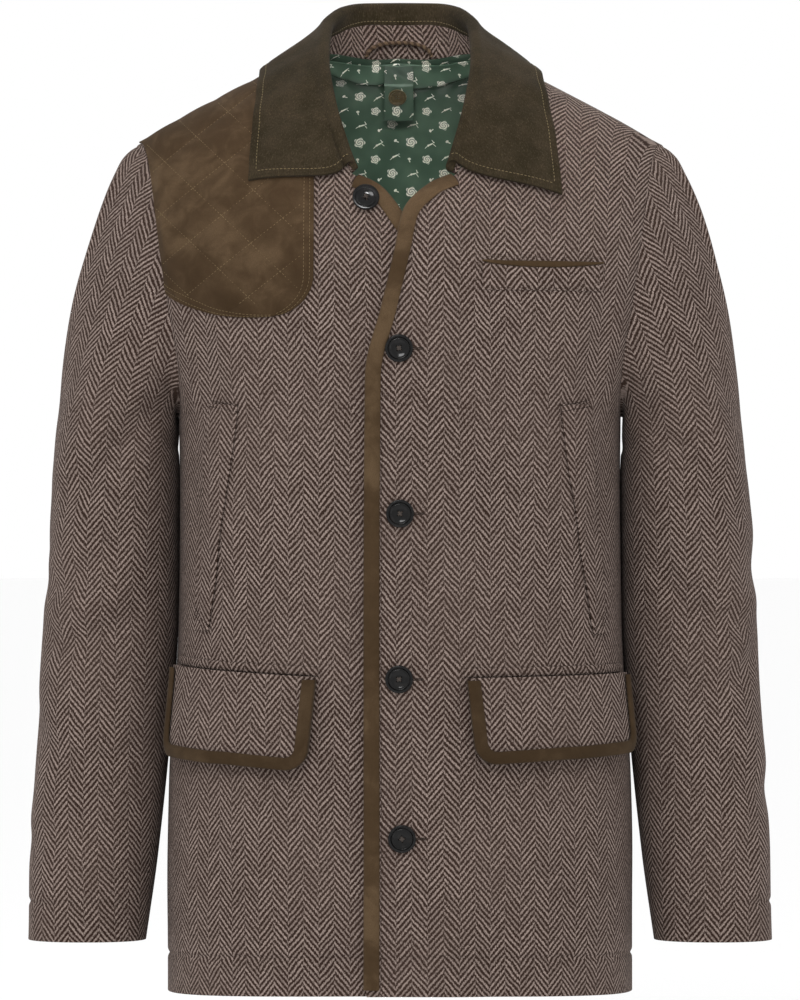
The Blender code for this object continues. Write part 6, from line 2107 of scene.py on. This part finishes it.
def thread_material(name, dark, light):
    web = Web(name)
    fibre = web.noise(web.add("ShaderNodeTexCoord", output=3), 1600.0, 2.0)
    colour = web.mix(web.between(fibre, 0.3, 0.7), dark, light)
    return web.paint(colour, 0.75, Specular_IOR_Level=0.15)


def resampled(line, spacing):
    """Even places along a polyline, the way on at each, and how far along each is."""
    ways = line_ways(line)
    count = int(ways[-1] / spacing)
    at = (np.arange(count) + 0.5) * (ways[-1] / max(count, 1))
    ahead, behind = line_at(at + spacing / 2, ways, line), line_at(at - spacing / 2, ways, line)
    return line_at(at, ways, line), unit(ahead - behind), ways, at


def sew(name, lines, stitch, look, across=False):
    """Stitches along lines of (points, normals), in one mesh; across turns each by 90 degrees."""
    length, gap, thick = stitch
    half = thick / 2
    ring = np.array([
        (share * length, math.cos(t) * size * half, (math.sin(t) * size * PRESSED + sink) * half)
        for share, size, sink in STITCH_RINGS
        for t in stitch_turns
    ])
    points, faces = [], []
    for line, normals in lines:
        line, normals = np.asarray(line, float), np.asarray(normals, float)
        spacing = thick * SIDE_BY_SIDE if across else length + gap
        middle, way, ways, at = resampled(line, spacing)
        if len(middle) == 0:
            continue
        up = unit(line_at(at, ways, normals))
        beside = unit(np.cross(up, way))
        if across:
            way, beside = beside, -way
        middle = middle + up * (thick * STITCH_SUNK)
        for m, w, b, u in zip(middle, way, beside, up):
            base = len(points) * len(ring)
            points.append(m + ring[:, :1] * w + ring[:, 1:2] * b + ring[:, 2:] * u)
            faces += (stitch_quads + base).tolist()
            faces.append([base + i for i in range(STITCH_SIDES - 1, -1, -1)])
            faces.append([base + len(ring) - STITCH_SIDES + i for i in range(STITCH_SIDES)])
    mesh = bpy.data.meshes.new(name)
    mesh.from_pydata(np.concatenate(points).tolist(), [], faces)
    outward_piece(mesh, look)
    print(f"{name}: {len(points)} stitches")


def line_in(grid, normals, metres, axis, last=True):
    """A line on a grid, a way in from its last or first row or column."""
    parts = [np.moveaxis(part, axis, 1) for part in (way_along(grid, axis), grid, normals)]
    points, ups = [], []
    for ways, line, up in zip(*parts):
        at = ways[-1] - metres if last else metres
        points.append(line_at(at, ways, line))
        ups.append(line_at(at, ways, up))
    return np.array(points), np.array(ups)


beige_thread = thread_material("beige_thread", dye(126, 110, 80), dye(168, 150, 114))
brown_thread = thread_material("brown_thread", dye(52, 42, 36), dye(74, 62, 54))
suede_thread = thread_material("suede_thread", dye(92, 78, 55), dye(120, 104, 76))
collar_thread = thread_material("collar_thread", dye(96, 86, 62), dye(126, 114, 86))

# %% Collar stitches
COLLAR_STITCH, STRIP_STITCH = Stitch(0.0022, 0.0010, 0.00058), Stitch(0.0022, 0.0010, 0.00056)
STRIP_STITCH_IN = 0.0030
shown_normals = grid_normals(collar_outer)
if shown_normals[len(shown_normals) // 2, -3, 2] < 0:
    shown_normals = -shown_normals
edge_line, edge_normals = line_in(collar_outer, shown_normals, TOPSTITCH_IN, 1)
from_ends = line_ways(edge_line)
inside = (from_ends > TOPSTITCH_IN) & (from_ends < from_ends[-1] - TOPSTITCH_IN)
lines = [(edge_line[inside], edge_normals[inside])]
roll_at = STRIP_STEPS + ROLL_STEPS // 2
for last in (False, True):
    end_grid, end_ups = collar_outer[:, roll_at:], shown_normals[:, roll_at:]
    end_line, end_normals = line_in(end_grid, end_ups, TOPSTITCH_IN, 0, last)
    short = line_ways(end_line)
    kept = short < short[-1] - TOPSTITCH_IN
    lines.append((end_line[kept], end_normals[kept]))
sew("collar_topstitch", lines, COLLAR_STITCH, collar_thread)
strip_line, strip_normals = line_in(collar_outer, shown_normals, STRIP_STITCH_IN, 1, last=False)
kept = slice(HALF_STATIONS // 2, -(HALF_STATIONS // 2))
lines = [(strip_line[kept], strip_normals[kept])]
sew("collar_strip_stitch", lines, STRIP_STITCH, collar_thread)

# %% Patch stitches
QUILT_STITCH, RIM_STITCH = Stitch(0.0021, 0.0012, 0.00055), Stitch(0.0022, 0.0010, 0.00052)
QUILT_FROM_RIM, QUILT_FROM_ARMHOLE, QUILT_FROM_TOP = 0.0105, 0.002, 0.01
LOW_ANGLE, LOW_SPAN = 27, 35
patch_normals = grid_normals(patch_outer)
if patch_normals[75, 75, 1] > 0:
    patch_normals = -patch_normals


def patch_spot(x, z, out):
    """Points over the patch's place, from the front view."""
    return worn_view(-1, x, z, LAID_GAP + SUEDE + out)


def inside_patch(x, z):
    """True where a place of the front view is well inside the patch's rim."""
    level = level_at(x, z)
    angle = angle_at(x, level)
    mine = flat_place(-1, angle, level)
    across = np.clip((angle - LOW_ANGLE) / LOW_SPAN, 0, 1)
    low_level = PATCH_LOW_LEVEL + PATCH_LOW_RISE * across**2
    low = mine[..., 1] - flat_place(-1, angle, low_level)[..., 1]
    up = np.clip((level - PATCH_LOW_LEVEL) / (PATCH_TOP_LEVEL - PATCH_LOW_LEVEL), 0, 1)
    inner = mine[..., 0] - flat_place(-1, patch_place(0.0 * x, up)[0], level)[..., 0]
    end = armhole_angle(-1, level) - PATCH_FROM_ARMHOLE
    outer = flat_place(-1, end, level)[..., 0] - mine[..., 0]
    from_top = PATCH_TOP_LEVEL - level
    within = (low > QUILT_FROM_RIM) & (inner > QUILT_FROM_RIM)
    return within & (outer > QUILT_FROM_ARMHOLE) & (from_top > QUILT_FROM_TOP)


lines = []
ends = np.linspace(-9, 9, 1400)
quilt_steps = QUILT_STEP_DOWN, QUILT_STEP_UP
for step_way, other_step in (quilt_steps, quilt_steps[::-1]):
    for k in range(-8, 9):
        x = QUILT_NODE[0] + other_step[0] * k + step_way[0] * ends
        z = QUILT_NODE[1] + other_step[1] * k + step_way[1] * ends
        kept = (x > 0.05) & (x < 0.23) & (z > -0.21) & (z < 0.03)
        x, z = x[kept], z[kept]
        if len(x) < 5:
            continue
        good = inside_patch(x, z)
        runs = np.flatnonzero(np.diff(np.concatenate([[0], good.astype(int), [0]])))
        for a, b in zip(runs[::2], runs[1::2]):
            if b - a > 8:
                base = patch_spot(x[a:b], z[a:b], 0.0001)
                lines.append((base, unit(base - patch_spot(x[a:b], z[a:b], -0.001))))
sew("patch_quilt_stitch", lines, QUILT_STITCH, suede_thread)

double = []
for seam_in in PATCH_SEAMS:
    for axis in (1, 0):
        line, ups = line_in(patch_outer, patch_normals, seam_in, axis, last=False)
        kept = line_ways(line) > seam_in
        double.append((line[kept], ups[kept]))
sew("patch_edge_stitch", double, RIM_STITCH, suede_thread)

# %% Front edge, pocket and tab stitches
def surface_line(spot, side, x, z, off):
    """A line of stitches over a front, with the way off it."""
    line = spot(side, x, z, off)
    return line, unit(line - spot(side, x, z, off - 0.001))


FRONT_STITCH, BAR_STITCH = Stitch(0.0019, 0.0016, 0.00060), Stitch(0.0026, 0.0004, 0.00085)
TAB_STITCH, TAB_STITCH_IN = Stitch(0.0013, 0.0010, 0.00040), 0.0019
BAR_INSETS, TOP_SLANT, FOOT_SLANT = (0.0015, 0.0065), (0, 0.005), (-0.004, 0.012)
beside = np.array([BINDING_WIDTH + 0.0016])
edge_line, under_line = (
    along_edge(1, binding_levels, beside, np.array([off]))[:, 0] for off in (0.0, -0.001)
)
lines = [(edge_line, unit(edge_line - under_line))]
for row in (BREAST_TOP + 0.0030, BREAST_TOP - BREAST_DROP + 0.0016):
    x = np.linspace(BREAST_ACROSS[0] + 0.0005, BREAST_ACROSS[1] - 0.0005, 60)
    over = LAID_GAP + BREAST_THICK if row < BREAST_TOP else 0.0
    lines.append(surface_line(worn_view, 1, x, row + 0 * x, over + 0 * x))
bars = []
for side in (1, -1):
    table = HAND_WELTS[side]
    edge_of, back_of = reader(table, "height", "edge"), reader(table, "height", "back")
    bar_ends = [(table[-1].height - inset, TOP_SLANT) for inset in BAR_INSETS]
    bar_ends += [(table[0].height + inset, FOOT_SLANT) for inset in BAR_INSETS]
    for end, slant in bar_ends:
        edge, behind = edge_of(np.array(end)), back_of(np.array(end))
        x = np.linspace(float(edge) - 0.001, float(behind) - 0.002, 30)
        z = end + np.linspace(*slant, 30)
        bars.append(surface_line(worn_girth, side, x, z, HAND_OFF + HAND_THICK + 0 * x))
    z = np.linspace(table[0].height + 0.002, table[-1].height - 0.002, 160)
    off = HAND_OFF + HAND_THICK * 0.7 + 0 * z
    lines.append(surface_line(worn_girth, side, back_of(z) - 0.003, z, off))
sew("front_stitch", lines, FRONT_STITCH, brown_thread)
bar_thread = thread_material("bar_thread", dye(30, 22, 19), dye(48, 38, 33))
sew("pocket_bars", bars, BAR_STITCH, bar_thread)

left, right = TAB_LEFT + TAB_STITCH_IN, TAB_RIGHT - TAB_STITCH_IN
low, high = TAB_LOW + TAB_STITCH_IN, TAB_FOLD - 0.002
corners = ((left, high), (left, low), (right, low), (right, high))
legs = [
    np.stack([np.linspace(x0, x1, 30), np.linspace(z0, z1, 30)], -1)
    for (x0, z0), (x1, z1) in zip(corners, corners[1:])
]
x, z = np.concatenate([legs[0], legs[1][1:], legs[2][1:]]).T
line = inside_back(x, z, TAB_CLEAR + LINING + 0.0012)
deeper = inside_back(x, z, TAB_CLEAR)
sew("tab_stitch", [(line, unit(line - deeper))], TAB_STITCH, beige_thread)

# %% [markdown]
# ### Buttonholes
#
# A worked buttonhole is a slit closed in by a dense row of short threads laid across its
# edge. Here two such rows lie side by side, to the right of each button where the slit
# comes out from under it.

# %% Buttonholes
HOLE_START, HOLE_END, HOLE_SPREAD, HOLE_OFF = -0.004, 0.0190, 0.00062, 0.0002
HOLE_STITCH = Stitch(0.0010, 0.0, 0.00040)
lines = []
for button in BUTTONS[1:]:
    for row in (-HOLE_SPREAD, HOLE_SPREAD):
        x = button.across + np.linspace(HOLE_START, HOLE_END, 60)
        lines.append(surface_line(worn_view, 1, x, button.height + row + 0 * x, HOLE_OFF + 0 * x))
    turn = np.linspace(-np.pi / 2, np.pi / 2, 16)
    x = button.across + HOLE_END + HOLE_SPREAD * 1.2 * np.cos(turn)
    z = button.height + HOLE_SPREAD * np.sin(turn)
    lines.append(surface_line(worn_view, 1, x, z, HOLE_OFF + 0 * x))
hole_thread = thread_material("buttonhole_thread", dye(40, 31, 27), dye(70, 58, 51))
sew("buttonholes", lines, HOLE_STITCH, hole_thread, across=True)
